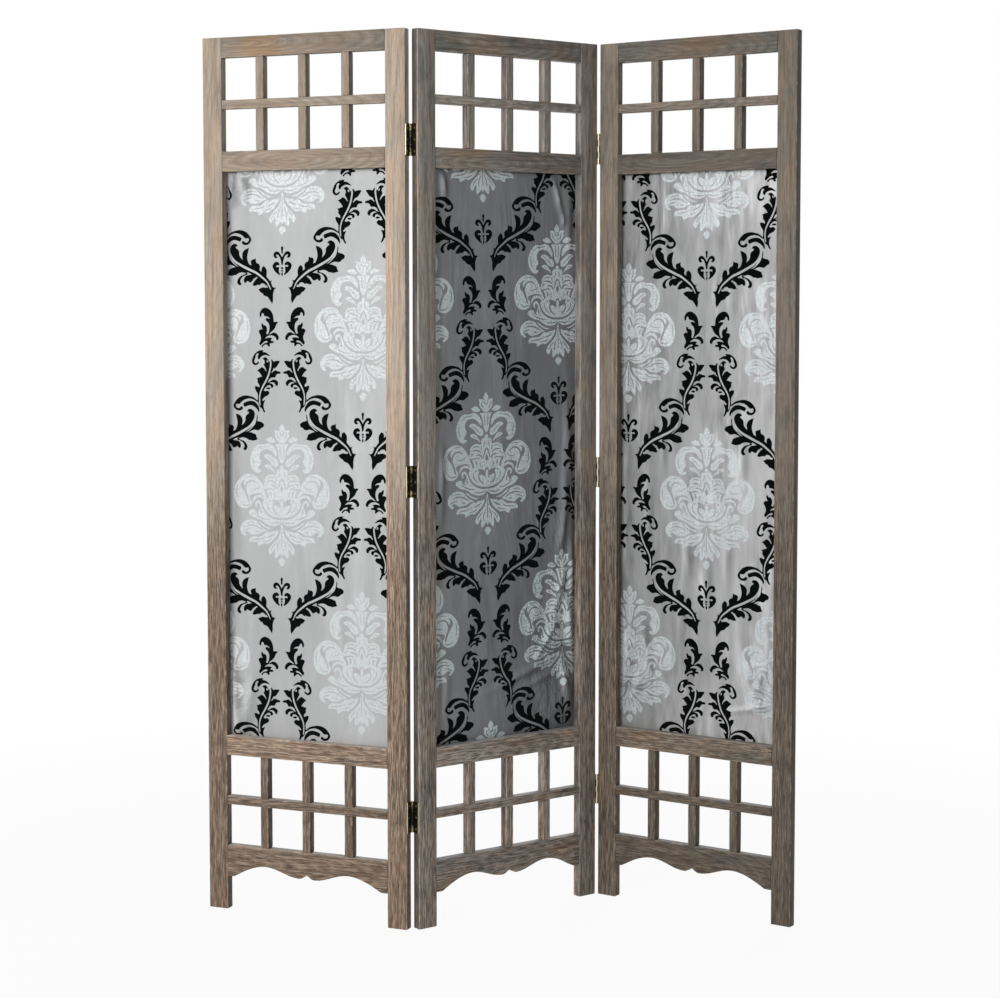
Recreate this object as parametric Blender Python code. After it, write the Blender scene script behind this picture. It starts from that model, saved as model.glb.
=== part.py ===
"""A folding screen: three wooden panels on butt hinges, each with a lattice above and below a stretched
cloth and a shaped apron at the foot. Metres, +Z up. The screen stands on the floor at Z = 0, its front
towards -Y, zigzagged as in use. Each panel is built in its own frame: X runs across the panel from its left
edge, Y from its front face to its back, Z up from the floor.
"""
import math

import bmesh
import bpy
from mathutils import Matrix, Vector

# The screen
HEIGHT = 1.700
PANEL_WIDTH = 0.430
FRAME_THICKNESS = 0.019
MIDDLE_TURN = math.radians(36.5)
LEFT_FOLD = math.radians(59.0)
RIGHT_FOLD = math.radians(70.5)

# Stiles and rails
STILE_WIDTH = 0.041
RAIL_HEIGHT = 0.0385
FOOT_HEIGHT = 0.066
BOTTOM_RAIL_HEIGHT = 0.062
LATTICE_HEIGHT = 0.179
ARRIS = 0.0012
ARRIS_STEPS = 2
SHARP_ANGLE = math.radians(80)
SEAT_GAP = 0.0003

# Tenons of the rails
TENON_LENGTH = 0.018
TENON_THICKNESS = 0.0065
TENON_SHOULDER = 0.007

# Lattice bars
BAR_WIDTH = 0.017
LATTICE_COLUMNS = 4
BAR_ARRIS_STEPS = 1
BAR_TENON_LENGTH = 0.005
BAR_TENON_THICKNESS = 0.0065
BAR_TENON_SHOULDER = 0.003

# Apron under the bottom rail. Heights are real sizes above the foot of the rail. Places are shares of the way
# from the middle of the panel to the stile.
APRON_CUSP_RISE = 0.018
APRON_LOBE_RISE = 0.0095
APRON_ARCH_RISE = 0.0253
APRON_LOBE_SHARE = 0.098
APRON_ARCH_SHARE = 0.51
APRON_STOP_SHARE = 0.92
APRON_CUSP_STEPS = 4
APRON_WAVE_STEPS = 7
APRON_ARCH_STEPS = 7

# Cloth, fixed on the back of the frame by a flat hem all round
CLOTH_THICKNESS = 0.0010
CLOTH_HEM = 0.012
CLOTH_RELEASE = 0.012
CLOTH_COLUMNS = 17
CLOTH_ROWS = 25
CLOTH_REST_SWELL = 0.0008
FOLD_HALF_WIDTH = 0.014
FOLD_HALF_LENGTH = 0.120
FOLD_HEIGHT = 0.0060

# Hinges
HINGE_LENGTH = 0.060
LOWER_HINGE_HEIGHT = 0.215
UPPER_HINGE_DROP = 0.205
LEAF_THICKNESS = 0.0010
LEAF_MARGIN = 0.0015
LEAF_CORNER = 0.0018
LEAF_CORNER_STEPS = 2
PIN_STANDOFF = 0.0018
PIN_OFFSET = 0.0018
PIN_RADIUS = 0.0012
KNUCKLE_RADIUS = 0.0024
KNUCKLES = 5
KNUCKLE_GAP = 0.0004
RUNNING_GAP = 0.0003
ROUND_STEPS = 12
SCREW_SPACING = 0.022
SCREW_HOLE_RADIUS = 0.0020
SCREW_SINK_RADIUS = 0.0032
SCREW_STEPS = 8

# How far every cutter and every joined tenon runs past the face that it crosses
OVERRUN = 0.002

# Levels of the frame, worked out from the sizes above
BOTTOM_RAIL_TOP = FOOT_HEIGHT + BOTTOM_RAIL_HEIGHT
LOWER_RAIL_FOOT = BOTTOM_RAIL_TOP + LATTICE_HEIGHT
LOWER_RAIL_TOP = LOWER_RAIL_FOOT + RAIL_HEIGHT
TOP_RAIL_FOOT = HEIGHT - RAIL_HEIGHT
UPPER_RAIL_TOP = TOP_RAIL_FOOT - LATTICE_HEIGHT
UPPER_RAIL_FOOT = UPPER_RAIL_TOP - RAIL_HEIGHT
INNER_LEFT = STILE_WIDTH
INNER_RIGHT = PANEL_WIDTH - STILE_WIDTH
HINGE_HEIGHTS = {
    "lower": LOWER_HINGE_HEIGHT,
    "middle": (LOWER_HINGE_HEIGHT + HEIGHT - UPPER_HINGE_DROP) / 2,
    "upper": HEIGHT - UPPER_HINGE_DROP,
}

# Main folds of each cloth. Each row holds shares: its place across and up the cloth opening from the lower
# left corner, then its width, length and height as shares of the full fold above, and last its lean, the
# sideways drift as a share of the height.
FOLD_SHARES = {
    "left": [
        (0.03, 0.975, 0.70, 0.35, 0.85, 0.10),
        (0.03, 0.07, 0.85, 0.75, 1.00, -0.10),
        (0.10, 0.04, 1.00, 0.50, 0.60, 0.20),
        (0.02, 0.42, 0.85, 0.90, 0.50, 0.00),
    ],
    "middle": [
        (0.07, 0.47, 1.00, 0.40, 1.25, 0.00),
        (0.93, 0.50, 1.00, 1.25, 1.00, -0.05),
        (0.88, 0.27, 1.15, 0.90, 1.10, 0.25),
        (0.96, 0.14, 0.85, 0.60, 1.15, -0.15),
        (0.80, 0.10, 1.15, 0.65, 0.75, 0.60),
        (0.86, 0.95, 0.85, 0.50, 0.65, -0.15),
        (0.04, 0.10, 0.85, 1.35, 0.65, 0.00),
    ],
    "right": [
        (0.05, 0.10, 1.00, 0.90, 1.00, 0.10),
        (0.16, 0.16, 1.00, 0.75, 0.75, -0.20),
        (0.05, 0.60, 0.85, 1.15, 0.75, 0.00),
        (0.20, 0.42, 1.00, 1.65, 0.60, 0.00),
        (0.36, 0.52, 1.00, 1.00, 0.60, 0.05),
        (0.55, 0.30, 1.15, 1.00, 0.60, 0.00),
        (0.72, 0.30, 1.00, 1.15, 0.60, -0.05),
        (0.86, 0.06, 1.40, 0.40, 1.00, 0.50),
        (0.30, 0.92, 1.00, 0.75, 0.60, 0.00),
    ],
}


def clear_scene():
    for old in list(bpy.data.objects):
        bpy.data.objects.remove(old, do_unlink=True)


def make_material(name, colour, roughness, metallic=0.0):
    made = bpy.data.materials.new(name)
    made.use_nodes = True
    shader = made.node_tree.nodes["Principled BSDF"]
    shader.inputs["Base Color"].default_value = (*colour, 1.0)
    shader.inputs["Roughness"].default_value = roughness
    shader.inputs["Metallic"].default_value = metallic
    made.diffuse_color = (*colour, 1.0)
    return made


def make_holder(name, parent=None, location=(0, 0, 0), turn=0.0):
    holder = bpy.data.objects.new(name, None)
    bpy.context.collection.objects.link(holder)
    holder.parent = parent
    holder.location = location
    holder.rotation_euler.z = turn
    return holder


def add_object(name, mesh, holder, location=(0, 0, 0), material=None):
    made = bpy.data.objects.new(name, mesh)
    bpy.context.collection.objects.link(made)
    made.parent = holder
    made.location = location
    if material:
        mesh.materials.append(material)
    return made


def fill_box(shape, low, high):
    """Adds a box between two corners to a bmesh."""
    low, high = Vector(low), Vector(high)
    size, centre = high - low, (high + low) / 2
    place = Matrix.Translation(centre) @ Matrix.Diagonal((*size, 1.0))
    return bmesh.ops.create_cube(shape, size=1.0, matrix=place)["verts"]


def finish_mesh(shape, name):
    bmesh.ops.recalc_face_normals(shape, faces=shape.faces)
    mesh = bpy.data.meshes.new(name)
    shape.to_mesh(mesh)
    shape.free()
    return mesh


def round_edges(piece, steps):
    """Takes the sharp corners off a wooden piece."""
    rounding = piece.modifiers.new("arris", "BEVEL")
    rounding.width = ARRIS
    rounding.segments = steps
    rounding.limit_method = "ANGLE"
    rounding.angle_limit = SHARP_ANGLE
    rounding.use_clamp_overlap = True


def combine(piece, boxes, operation, holder):
    """Joins the boxes to a piece, or cuts them out of it. The boxes are given in the panel's frame."""
    if not boxes:
        return
    shape = bmesh.new()
    for low, high in boxes:
        fill_box(shape, low, high)
    tool = add_object(f"{piece.name}_{operation.lower()}", finish_mesh(shape, "tool"), holder)
    apply_tool(piece, tool, operation)


def apply_tool(piece, tool, operation):
    tool.hide_render = True
    tool.display_type = "WIRE"
    joining = piece.modifiers.new(operation.lower(), "BOOLEAN")
    joining.operation = operation
    joining.solver = "EXACT"
    joining.object = tool


def wood_piece(name, holder, low, high, material, steps, tenons=(), pockets=()):
    """A rectangular piece of wood with rounded edges, its tenons joined on and its pockets cut out."""
    low, high = Vector(low), Vector(high)
    centre = (low + high) / 2
    shape = bmesh.new()
    fill_box(shape, low - centre, high - centre)
    piece = add_object(name, finish_mesh(shape, name), holder, centre, material)
    round_edges(piece, steps)
    combine(piece, tenons, "UNION", holder)
    combine(piece, pockets, "DIFFERENCE", holder)
    return piece


def grown(box, amount):
    low, high = box
    return [value - amount for value in low], [value + amount for value in high]


def tongue(low, high, thickness):
    """A tenon between two heights and two places across the panel, in the middle of the frame's thickness."""
    front = (FRAME_THICKNESS - thickness) / 2
    return (low[0], front, low[1]), (high[0], front + thickness, high[1])


def rail_tenons(foot, top):
    low, high = foot + TENON_SHOULDER, top - TENON_SHOULDER
    return {
        "left": tongue((INNER_LEFT - TENON_LENGTH, low), (INNER_LEFT + OVERRUN, high), TENON_THICKNESS),
        "right": tongue((INNER_RIGHT - OVERRUN, low), (INNER_RIGHT + TENON_LENGTH, high), TENON_THICKNESS),
    }


def crossbar_level(foot):
    low = foot + (LATTICE_HEIGHT - BAR_WIDTH) / 2
    return low, low + BAR_WIDTH


def crossbar_tenons(foot):
    low, high = crossbar_level(foot)
    low, high = low + BAR_TENON_SHOULDER, high - BAR_TENON_SHOULDER
    reach, inset = BAR_TENON_LENGTH, OVERRUN
    return {
        "left": tongue((INNER_LEFT - reach, low), (INNER_LEFT + inset, high), BAR_TENON_THICKNESS),
        "right": tongue((INNER_RIGHT - inset, low), (INNER_RIGHT + reach, high), BAR_TENON_THICKNESS),
    }


def bar_places():
    """The left and right side of each upright bar, evenly spaced between the stiles."""
    bars = LATTICE_COLUMNS - 1
    opening = (INNER_RIGHT - INNER_LEFT - bars * BAR_WIDTH) / LATTICE_COLUMNS
    lefts = [INNER_LEFT + opening + bar * (opening + BAR_WIDTH) for bar in range(bars)]
    return [(left, left + BAR_WIDTH) for left in lefts]


def bar_tenons(place, foot):
    left, right = place[0] + BAR_TENON_SHOULDER, place[1] - BAR_TENON_SHOULDER
    top = foot + LATTICE_HEIGHT
    return {
        "foot": tongue((left, foot - BAR_TENON_LENGTH), (right, foot + OVERRUN), BAR_TENON_THICKNESS),
        "top": tongue((left, top - OVERRUN), (right, top + BAR_TENON_LENGTH), BAR_TENON_THICKNESS),
    }


def bar_pockets(foot, end):
    """The pockets that the bars of the lattice standing on `foot` need in the rail at one of its ends."""
    return [grown(bar_tenons(place, foot)[end], SEAT_GAP) for place in bar_places()]


def apron_outline():
    """The lower edge of the bottom rail from its middle to its end: places across and heights."""
    lobe, arch = FOOT_HEIGHT + APRON_LOBE_RISE, FOOT_HEIGHT + APRON_ARCH_RISE
    cusp = FOOT_HEIGHT + APRON_CUSP_RISE
    reach = PANEL_WIDTH / 2 - INNER_LEFT
    lobe_out, arch_out, stop_out = (
        reach * share for share in (APRON_LOBE_SHARE, APRON_ARCH_SHARE, APRON_STOP_SHARE))
    points = []
    for step in range(APRON_CUSP_STEPS):
        share = step / APRON_CUSP_STEPS
        points.append((lobe_out * share, lobe + (cusp - lobe) * (1 - math.sin(math.pi / 2 * share))))
    for step in range(APRON_WAVE_STEPS):
        share = step / APRON_WAVE_STEPS
        out = lobe_out + (arch_out - lobe_out) * share
        points.append((out, lobe + (arch - lobe) * (1 - math.cos(math.pi * share)) / 2))
    for step in range(APRON_ARCH_STEPS + 1):
        share = step / APRON_ARCH_STEPS
        out = arch_out + (stop_out - arch_out) * share
        points.append((out, FOOT_HEIGHT + (arch - FOOT_HEIGHT) * math.cos(math.pi / 2 * share)))
    return points


def build_bottom_rail(side, holder, material):
    middle = PANEL_WIDTH / 2
    half = middle - INNER_LEFT - SEAT_GAP
    lower_edge = apron_outline() + [(half, FOOT_HEIGHT)]
    right_side = [(middle + out, level) for out, level in lower_edge]
    left_side = [(middle - out, level) for out, level in reversed(lower_edge[1:])]
    top = [(middle + half, BOTTOM_RAIL_TOP), (middle - half, BOTTOM_RAIL_TOP)]
    shape = bmesh.new()
    rim = [shape.verts.new((across, 0, level)) for across, level in left_side + right_side + top]
    front = shape.faces.new(rim)
    drawn = bmesh.ops.extrude_face_region(shape, geom=[front])["geom"]
    moved = [item for item in drawn if isinstance(item, bmesh.types.BMVert)]
    bmesh.ops.translate(shape, verts=moved, vec=(0, FRAME_THICKNESS, 0))
    name = f"{side}_bottom_rail"
    piece = add_object(name, finish_mesh(shape, name), holder, material=material)
    round_edges(piece, ARRIS_STEPS)
    combine(piece, list(rail_tenons(FOOT_HEIGHT, BOTTOM_RAIL_TOP).values()), "UNION", holder)
    combine(piece, bar_pockets(BOTTOM_RAIL_TOP, "foot"), "DIFFERENCE", holder)


def build_rail(side, kind, holder, foot, material, pockets):
    top = foot + RAIL_HEIGHT
    low = (INNER_LEFT + SEAT_GAP, 0, foot)
    high = (INNER_RIGHT - SEAT_GAP, FRAME_THICKNESS, top)
    tenons = list(rail_tenons(foot, top).values())
    wood_piece(f"{side}_{kind}_rail", holder, low, high, material, ARRIS_STEPS, tenons, pockets)


def stile_pockets(end):
    rails = [(FOOT_HEIGHT, BOTTOM_RAIL_TOP), (LOWER_RAIL_FOOT, LOWER_RAIL_TOP),
             (UPPER_RAIL_FOOT, UPPER_RAIL_TOP), (TOP_RAIL_FOOT, HEIGHT)]
    boxes = [rail_tenons(foot, top)[end] for foot, top in rails]
    boxes += [crossbar_tenons(foot)[end] for foot in (BOTTOM_RAIL_TOP, UPPER_RAIL_TOP)]
    return [grown(box, SEAT_GAP) for box in boxes]


def build_stiles(side, holder, material):
    for end, left in (("left", 0), ("right", INNER_RIGHT)):
        low, high = (left, 0, 0), (left + STILE_WIDTH, FRAME_THICKNESS, HEIGHT)
        wood_piece(f"{side}_stile_{end}", holder, low, high, material, ARRIS_STEPS,
                   pockets=stile_pockets(end))


def build_lattice(side, kind, holder, foot, material):
    """Three upright bars halved over one crossbar. The crossbar keeps its front half, the bars their back."""
    low, high = crossbar_level(foot)
    half = FRAME_THICKNESS / 2
    front_half = [(-OVERRUN, half), (half, FRAME_THICKNESS + OVERRUN)]
    cross_notches = []
    for number, place in enumerate(bar_places(), start=1):
        cross_notches.append(((place[0] - SEAT_GAP, half, low - OVERRUN),
                              (place[1] + SEAT_GAP, front_half[1][1], high + OVERRUN)))
        notch = ((place[0] - OVERRUN, front_half[0][0], low - SEAT_GAP),
                 (place[1] + OVERRUN, half + SEAT_GAP, high + SEAT_GAP))
        bar_low = (place[0], 0, foot + SEAT_GAP)
        bar_high = (place[1], FRAME_THICKNESS, foot + LATTICE_HEIGHT - SEAT_GAP)
        tenons = list(bar_tenons(place, foot).values())
        wood_piece(f"{side}_{kind}_bar_{number}", holder, bar_low, bar_high, material, BAR_ARRIS_STEPS,
                   tenons, [notch])
    cross_low = (INNER_LEFT + SEAT_GAP, 0, low)
    cross_high = (INNER_RIGHT - SEAT_GAP, FRAME_THICKNESS, high)
    tenons = list(crossbar_tenons(foot).values())
    wood_piece(f"{side}_{kind}_crossbar", holder, cross_low, cross_high, material, BAR_ARRIS_STEPS,
               tenons, cross_notches)


def smooth_step(share):
    share = min(max(share, 0.0), 1.0)
    return share * share * (3 - 2 * share)


def cloth_rise(side, across, level):
    """How far the cloth stands forward of its hem at a place in the panel."""
    edge = min(across - INNER_LEFT, INNER_RIGHT - across, level - LOWER_RAIL_TOP, UPPER_RAIL_FOOT - level)
    rise = CLOTH_REST_SWELL
    for across_share, level_share, width_share, length_share, height_share, lean_share in FOLD_SHARES[side]:
        centre_level = LOWER_RAIL_TOP + level_share * (UPPER_RAIL_FOOT - LOWER_RAIL_TOP)
        drift = lean_share * (level - centre_level)
        centre = INNER_LEFT + across_share * (INNER_RIGHT - INNER_LEFT) + drift
        along = (level - centre_level) / (FOLD_HALF_LENGTH * length_share)
        beside = (across - centre) / (FOLD_HALF_WIDTH * width_share)
        rise += FOLD_HEIGHT * height_share * math.exp(-along * along - beside * beside)
    return rise * smooth_step(edge / CLOTH_RELEASE)


def grid_lines(low, high, count):
    """Even lines over the opening, with one more at each end for the hem."""
    inside = [low + (high - low) * step / count for step in range(count + 1)]
    return [low - CLOTH_HEM] + inside + [high + CLOTH_HEM]


def build_cloth(side, holder, material):
    across_lines = grid_lines(INNER_LEFT, INNER_RIGHT, CLOTH_COLUMNS)
    level_lines = grid_lines(LOWER_RAIL_TOP, UPPER_RAIL_FOOT, CLOTH_ROWS)
    back = FRAME_THICKNESS + SEAT_GAP
    shape = bmesh.new()
    rows = []
    for level in level_lines:
        rows.append([shape.verts.new((across, back - cloth_rise(side, across, level), level))
                     for across in across_lines])
    for lower, upper in zip(rows, rows[1:]):
        for column in range(len(across_lines) - 1):
            shape.faces.new((lower[column], lower[column + 1], upper[column + 1], upper[column]))
    name = f"{side}_cloth"
    mesh = finish_mesh(shape, name)
    piece = add_object(name, mesh, holder, material=material)
    wall = piece.modifiers.new("thickness", "SOLIDIFY")
    wall.thickness = CLOTH_THICKNESS
    wall.offset = -1.0 if mesh.polygons[0].normal.y < 0 else 1.0
    for face in mesh.polygons:
        face.use_smooth = True


def add_round(shape, radius, low, high):
    """A round bar along Z on the pin's axis."""
    place = Matrix.Translation((0, 0, (low + high) / 2))
    bmesh.ops.create_cone(shape, cap_ends=True, segments=ROUND_STEPS, radius1=radius, radius2=radius,
                          depth=high - low, matrix=place)


def round_tool(name, holder, location, radius, spans):
    shape = bmesh.new()
    for low, high in spans:
        add_round(shape, radius, low, high)
    mesh = finish_mesh(shape, name)
    mesh.shade_smooth()
    mesh.set_sharp_from_angle(angle=SHARP_ANGLE)
    return add_object(name, mesh, holder, location)


def knuckle_spans(carried):
    """Heights of the knuckles, above and below the hinge's middle, that one leaf carries."""
    pitch = HINGE_LENGTH / KNUCKLES
    spans = []
    for number in range(KNUCKLES):
        low = -HINGE_LENGTH / 2 + number * pitch
        end_gaps = (KNUCKLE_GAP / 2 if number else 0.0, KNUCKLE_GAP / 2 if number < KNUCKLES - 1 else 0.0)
        if (number % 2 == 0) == carried:
            spans.append((low + end_gaps[0], low + pitch - end_gaps[1]))
    return spans


def leaf_plate(name, across, depth):
    """The flat of one leaf. Signs across and depth say which way the stile and the leaf lie from the pin."""
    near = PIN_STANDOFF - SEAT_GAP - LEAF_THICKNESS
    far = PIN_STANDOFF - SEAT_GAP
    reach = PIN_OFFSET + FRAME_THICKNESS - LEAF_MARGIN
    corners = [(across * near, 0, -HINGE_LENGTH / 2), (across * far, depth * reach, HINGE_LENGTH / 2)]
    low = [min(pair) for pair in zip(*corners)]
    high = [max(pair) for pair in zip(*corners)]
    shape = bmesh.new()
    fill_box(shape, low, high)
    rim = depth * reach
    edges = [edge for edge in shape.edges
             if all(abs(vert.co.y - rim) < SEAT_GAP for vert in edge.verts)
             and abs(edge.verts[0].co.z - edge.verts[1].co.z) < SEAT_GAP]
    bmesh.ops.bevel(shape, geom=edges, offset=LEAF_CORNER, segments=LEAF_CORNER_STEPS, profile=0.5,
                    affect="EDGES")
    return finish_mesh(shape, name)


def screw_sinks(name, holder, location, across, depth):
    """Countersunk holes through the flat of a leaf, wide at the side that faces the other leaf."""
    middle = (PIN_OFFSET + KNUCKLE_RADIUS + PIN_OFFSET + FRAME_THICKNESS - LEAF_MARGIN) / 2
    near = PIN_STANDOFF - SEAT_GAP - LEAF_THICKNESS
    slope = (SCREW_SINK_RADIUS - SCREW_HOLE_RADIUS) / LEAF_THICKNESS
    run = LEAF_THICKNESS + 2 * SEAT_GAP
    shape = bmesh.new()
    for level in (-SCREW_SPACING, 0.0, SCREW_SPACING):
        centre = (across * (near + LEAF_THICKNESS / 2), depth * middle, level)
        place = Matrix.Translation(centre) @ Matrix.Rotation(across * math.pi / 2, 4, "Y")
        bmesh.ops.create_cone(shape, cap_ends=True, segments=SCREW_STEPS,
                              radius1=SCREW_SINK_RADIUS + slope * SEAT_GAP,
                              radius2=SCREW_HOLE_RADIUS - slope * SEAT_GAP, depth=run, matrix=place)
    return add_object(name, finish_mesh(shape, name), holder, location)


def build_leaf(name, holder, pin, across, depth, level, carries_pin, material):
    """One leaf of a hinge on the edge of a stile. The leaf with the outer knuckles carries the pin."""
    location = (*pin, level)
    leaf = add_object(name, leaf_plate(name, across, depth), holder, location, material)
    own, others = knuckle_spans(carries_pin), knuckle_spans(not carries_pin)
    swept = [(low - KNUCKLE_GAP, high + KNUCKLE_GAP) for low, high in others]
    clearing = round_tool(f"{name}_clearing", holder, location, KNUCKLE_RADIUS + RUNNING_GAP, swept)
    apply_tool(leaf, clearing, "DIFFERENCE")
    apply_tool(leaf, round_tool(f"{name}_knuckles", holder, location, KNUCKLE_RADIUS, own), "UNION")
    if carries_pin:
        half = HINGE_LENGTH / 2 - KNUCKLE_GAP
        apply_tool(leaf, round_tool(f"{name}_pin", holder, location, PIN_RADIUS, [(-half, half)]), "UNION")
    else:
        half = HINGE_LENGTH / 2 + OVERRUN
        bore_radius = PIN_RADIUS + RUNNING_GAP
        bore = round_tool(f"{name}_bore", holder, location, bore_radius, [(-half, half)])
        apply_tool(leaf, bore, "DIFFERENCE")
    apply_tool(leaf, screw_sinks(f"{name}_sinks", holder, location, across, depth), "DIFFERENCE")


def build_hinges(panels, material):
    """The left joint turns about pins behind the frame, the right joint about pins in front of it."""
    right_edge = PANEL_WIDTH + PIN_STANDOFF
    behind, before = FRAME_THICKNESS + PIN_OFFSET, -PIN_OFFSET
    joints = {
        "left": [("pin", panels["left"], (right_edge, behind), -1, -1),
                 ("plain", panels["middle"], (-PIN_STANDOFF, behind), 1, -1)],
        "right": [("plain", panels["middle"], (right_edge, before), -1, 1),
                  ("pin", panels["right"], (-PIN_STANDOFF, before), 1, 1)],
    }
    for side, leaves in joints.items():
        for place, level in HINGE_HEIGHTS.items():
            for kind, holder, pin, across, depth in leaves:
                build_leaf(f"{side}_hinge_{place}_{kind}_leaf", holder, pin, across, depth, level,
                           kind == "pin", material)


def build_panel(side, holder, materials):
    build_stiles(side, holder, materials["stile"])
    build_rail(side, "top", holder, TOP_RAIL_FOOT, materials["rail"], bar_pockets(UPPER_RAIL_TOP, "top"))
    build_rail(side, "upper", holder, UPPER_RAIL_FOOT, materials["rail"], bar_pockets(UPPER_RAIL_TOP, "foot"))
    build_rail(side, "lower", holder, LOWER_RAIL_FOOT, materials["rail"], bar_pockets(BOTTOM_RAIL_TOP, "top"))
    build_bottom_rail(side, holder, materials["rail"])
    build_lattice(side, "upper", holder, UPPER_RAIL_TOP, materials["bar"])
    build_lattice(side, "lower", holder, BOTTOM_RAIL_TOP, materials["bar"])
    build_cloth(side, holder, materials["cloth"])


def place_panels():
    """The middle panel carries both fold axes, and each outer panel hangs on its own."""
    screen = make_holder("screen")
    middle = make_holder("middle_panel", screen, turn=MIDDLE_TURN)
    behind, right_edge = FRAME_THICKNESS + PIN_OFFSET, PANEL_WIDTH + PIN_STANDOFF
    left_axis = make_holder("left_fold_axis", middle, (-PIN_STANDOFF, behind, 0), -LEFT_FOLD)
    right_axis = make_holder("right_fold_axis", middle, (right_edge, -PIN_OFFSET, 0), -RIGHT_FOLD)
    left = make_holder("left_panel", left_axis, (-right_edge, -behind, 0))
    right = make_holder("right_panel", right_axis, (PIN_STANDOFF, PIN_OFFSET, 0))
    return screen, {"left": left, "middle": middle, "right": right}


def centre_on_floor(screen):
    """Moves the screen so that the middle of its plan stands over the origin."""
    bpy.context.view_layer.update()
    graph = bpy.context.evaluated_depsgraph_get()
    places = []
    for item in bpy.data.objects:
        if item.type == "MESH" and not item.hide_render:
            shown = item.evaluated_get(graph)
            places += [shown.matrix_world @ vert.co for vert in shown.data.vertices]
    for axis in (0, 1):
        values = [place[axis] for place in places]
        screen.location[axis] -= (min(values) + max(values)) / 2
    bpy.context.view_layer.update()


def build_screen():
    clear_scene()
    materials = {
        "stile": make_material("stile_wood", (0.245, 0.195, 0.150), 0.72),
        "rail": make_material("rail_wood", (0.225, 0.185, 0.145), 0.74),
        "bar": make_material("bar_wood", (0.210, 0.175, 0.140), 0.74),
        "cloth": make_material("damask_cloth", (0.420, 0.415, 0.420), 0.38),
    }
    hinge_metal = make_material("hinge_metal", (0.090, 0.075, 0.040), 0.42, 0.9)
    screen, panels = place_panels()
    for side, holder in panels.items():
        build_panel(side, holder, materials)
    build_hinges(panels, hinge_metal)
    centre_on_floor(screen)


build_screen()
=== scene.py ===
"""The looks of a folding screen: weathered wooden frames, damask cloths stapled on behind, and butt hinges.

A panel has its own frame, as in the part: across from its left edge, depth from its front face, and height
from the floor, all in metres. The cloth's pattern is drawn in millimetres.
"""
import math

import bmesh
import bpy
from mathutils import Matrix, Vector, geometry, noise


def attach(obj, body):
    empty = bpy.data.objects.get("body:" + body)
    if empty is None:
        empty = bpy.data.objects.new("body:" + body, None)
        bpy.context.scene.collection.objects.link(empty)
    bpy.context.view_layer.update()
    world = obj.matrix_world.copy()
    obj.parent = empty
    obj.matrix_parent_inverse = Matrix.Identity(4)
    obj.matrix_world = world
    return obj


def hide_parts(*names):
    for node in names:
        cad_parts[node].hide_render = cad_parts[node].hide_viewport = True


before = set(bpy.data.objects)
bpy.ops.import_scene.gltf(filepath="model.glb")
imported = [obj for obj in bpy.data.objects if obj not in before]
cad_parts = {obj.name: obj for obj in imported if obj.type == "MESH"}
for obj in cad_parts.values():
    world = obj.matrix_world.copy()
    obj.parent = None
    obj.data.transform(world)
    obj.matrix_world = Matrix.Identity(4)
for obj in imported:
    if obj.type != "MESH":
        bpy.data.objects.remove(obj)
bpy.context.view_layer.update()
bpy.ops.object.select_all(action="DESELECT")

MM = 0.001

# The screen as it stands
PANEL_TURNS = {"left": -22.5, "middle": 36.5, "right": -34.0}
SCREEN_HEIGHT = 1.700
PANEL_WIDTH = 0.430
FRAME_THICKNESS = 0.019
ARRIS = 0.0007
TOP_ROUNDING = 0.0030
WORN_TOP_ROUNDING = 0.0070
TOUCHING = 1e-5

# Cloth
CLOTH_GAP = 0.0003
CLOTH_THICKNESS = 0.0005
CLOTH_HEM = 0.012
CLOTH_RELEASE = 0.012
CLOTH_OPENING = ((0.041, 0.3455), (0.389, 1.444))
CLOTH_STEP_MM = 4.5
OUTLINE_STEP_MM = 2.2
WELD_MM = 0.02
SLIVER_MM = 0.01
HEM_FOLD = 0.0003
REVERSE_STEP = 0.006


class Panel:
    """One panel of the screen, with the way from its own frame to the world's."""

    def __init__(self, side, turn):
        self.side, self.body, self.turn = side, f"{side}_panel", math.radians(turn)
        self.across = Vector((math.cos(self.turn), math.sin(self.turn), 0))
        self.depth = Vector((-math.sin(self.turn), math.cos(self.turn), 0))
        self.origin = Vector((0, 0, 0))
        low, _ = self.box(f"{side}_stile_left")
        self.origin = self.across * low[0] + self.depth * low[1]
        self.matrix = Matrix.Translation(self.origin) @ Matrix.Rotation(self.turn, 4, "Z")

    def place(self, across, depth, height):
        return self.origin + self.across * across + self.depth * depth + Vector((0, 0, height))

    def box(self, node):
        """The lowest and highest corner of a node in the panel's frame."""
        spots = [vert.co - self.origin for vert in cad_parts[node].data.vertices]
        rows = [(spot.dot(self.across), spot.dot(self.depth), spot.z) for spot in spots]
        return [min(values) for values in zip(*rows)], [max(values) for values in zip(*rows)]


PANELS = {side: Panel(side, turn) for side, turn in PANEL_TURNS.items()}


def added(name, data):
    """A new object in the scene."""
    piece = bpy.data.objects.new(name, data)
    bpy.context.collection.objects.link(piece)
    return piece


def multiplied(colour, by):
    return [tone * part for tone, part in zip(colour, by)]


# Shader maths

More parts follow.
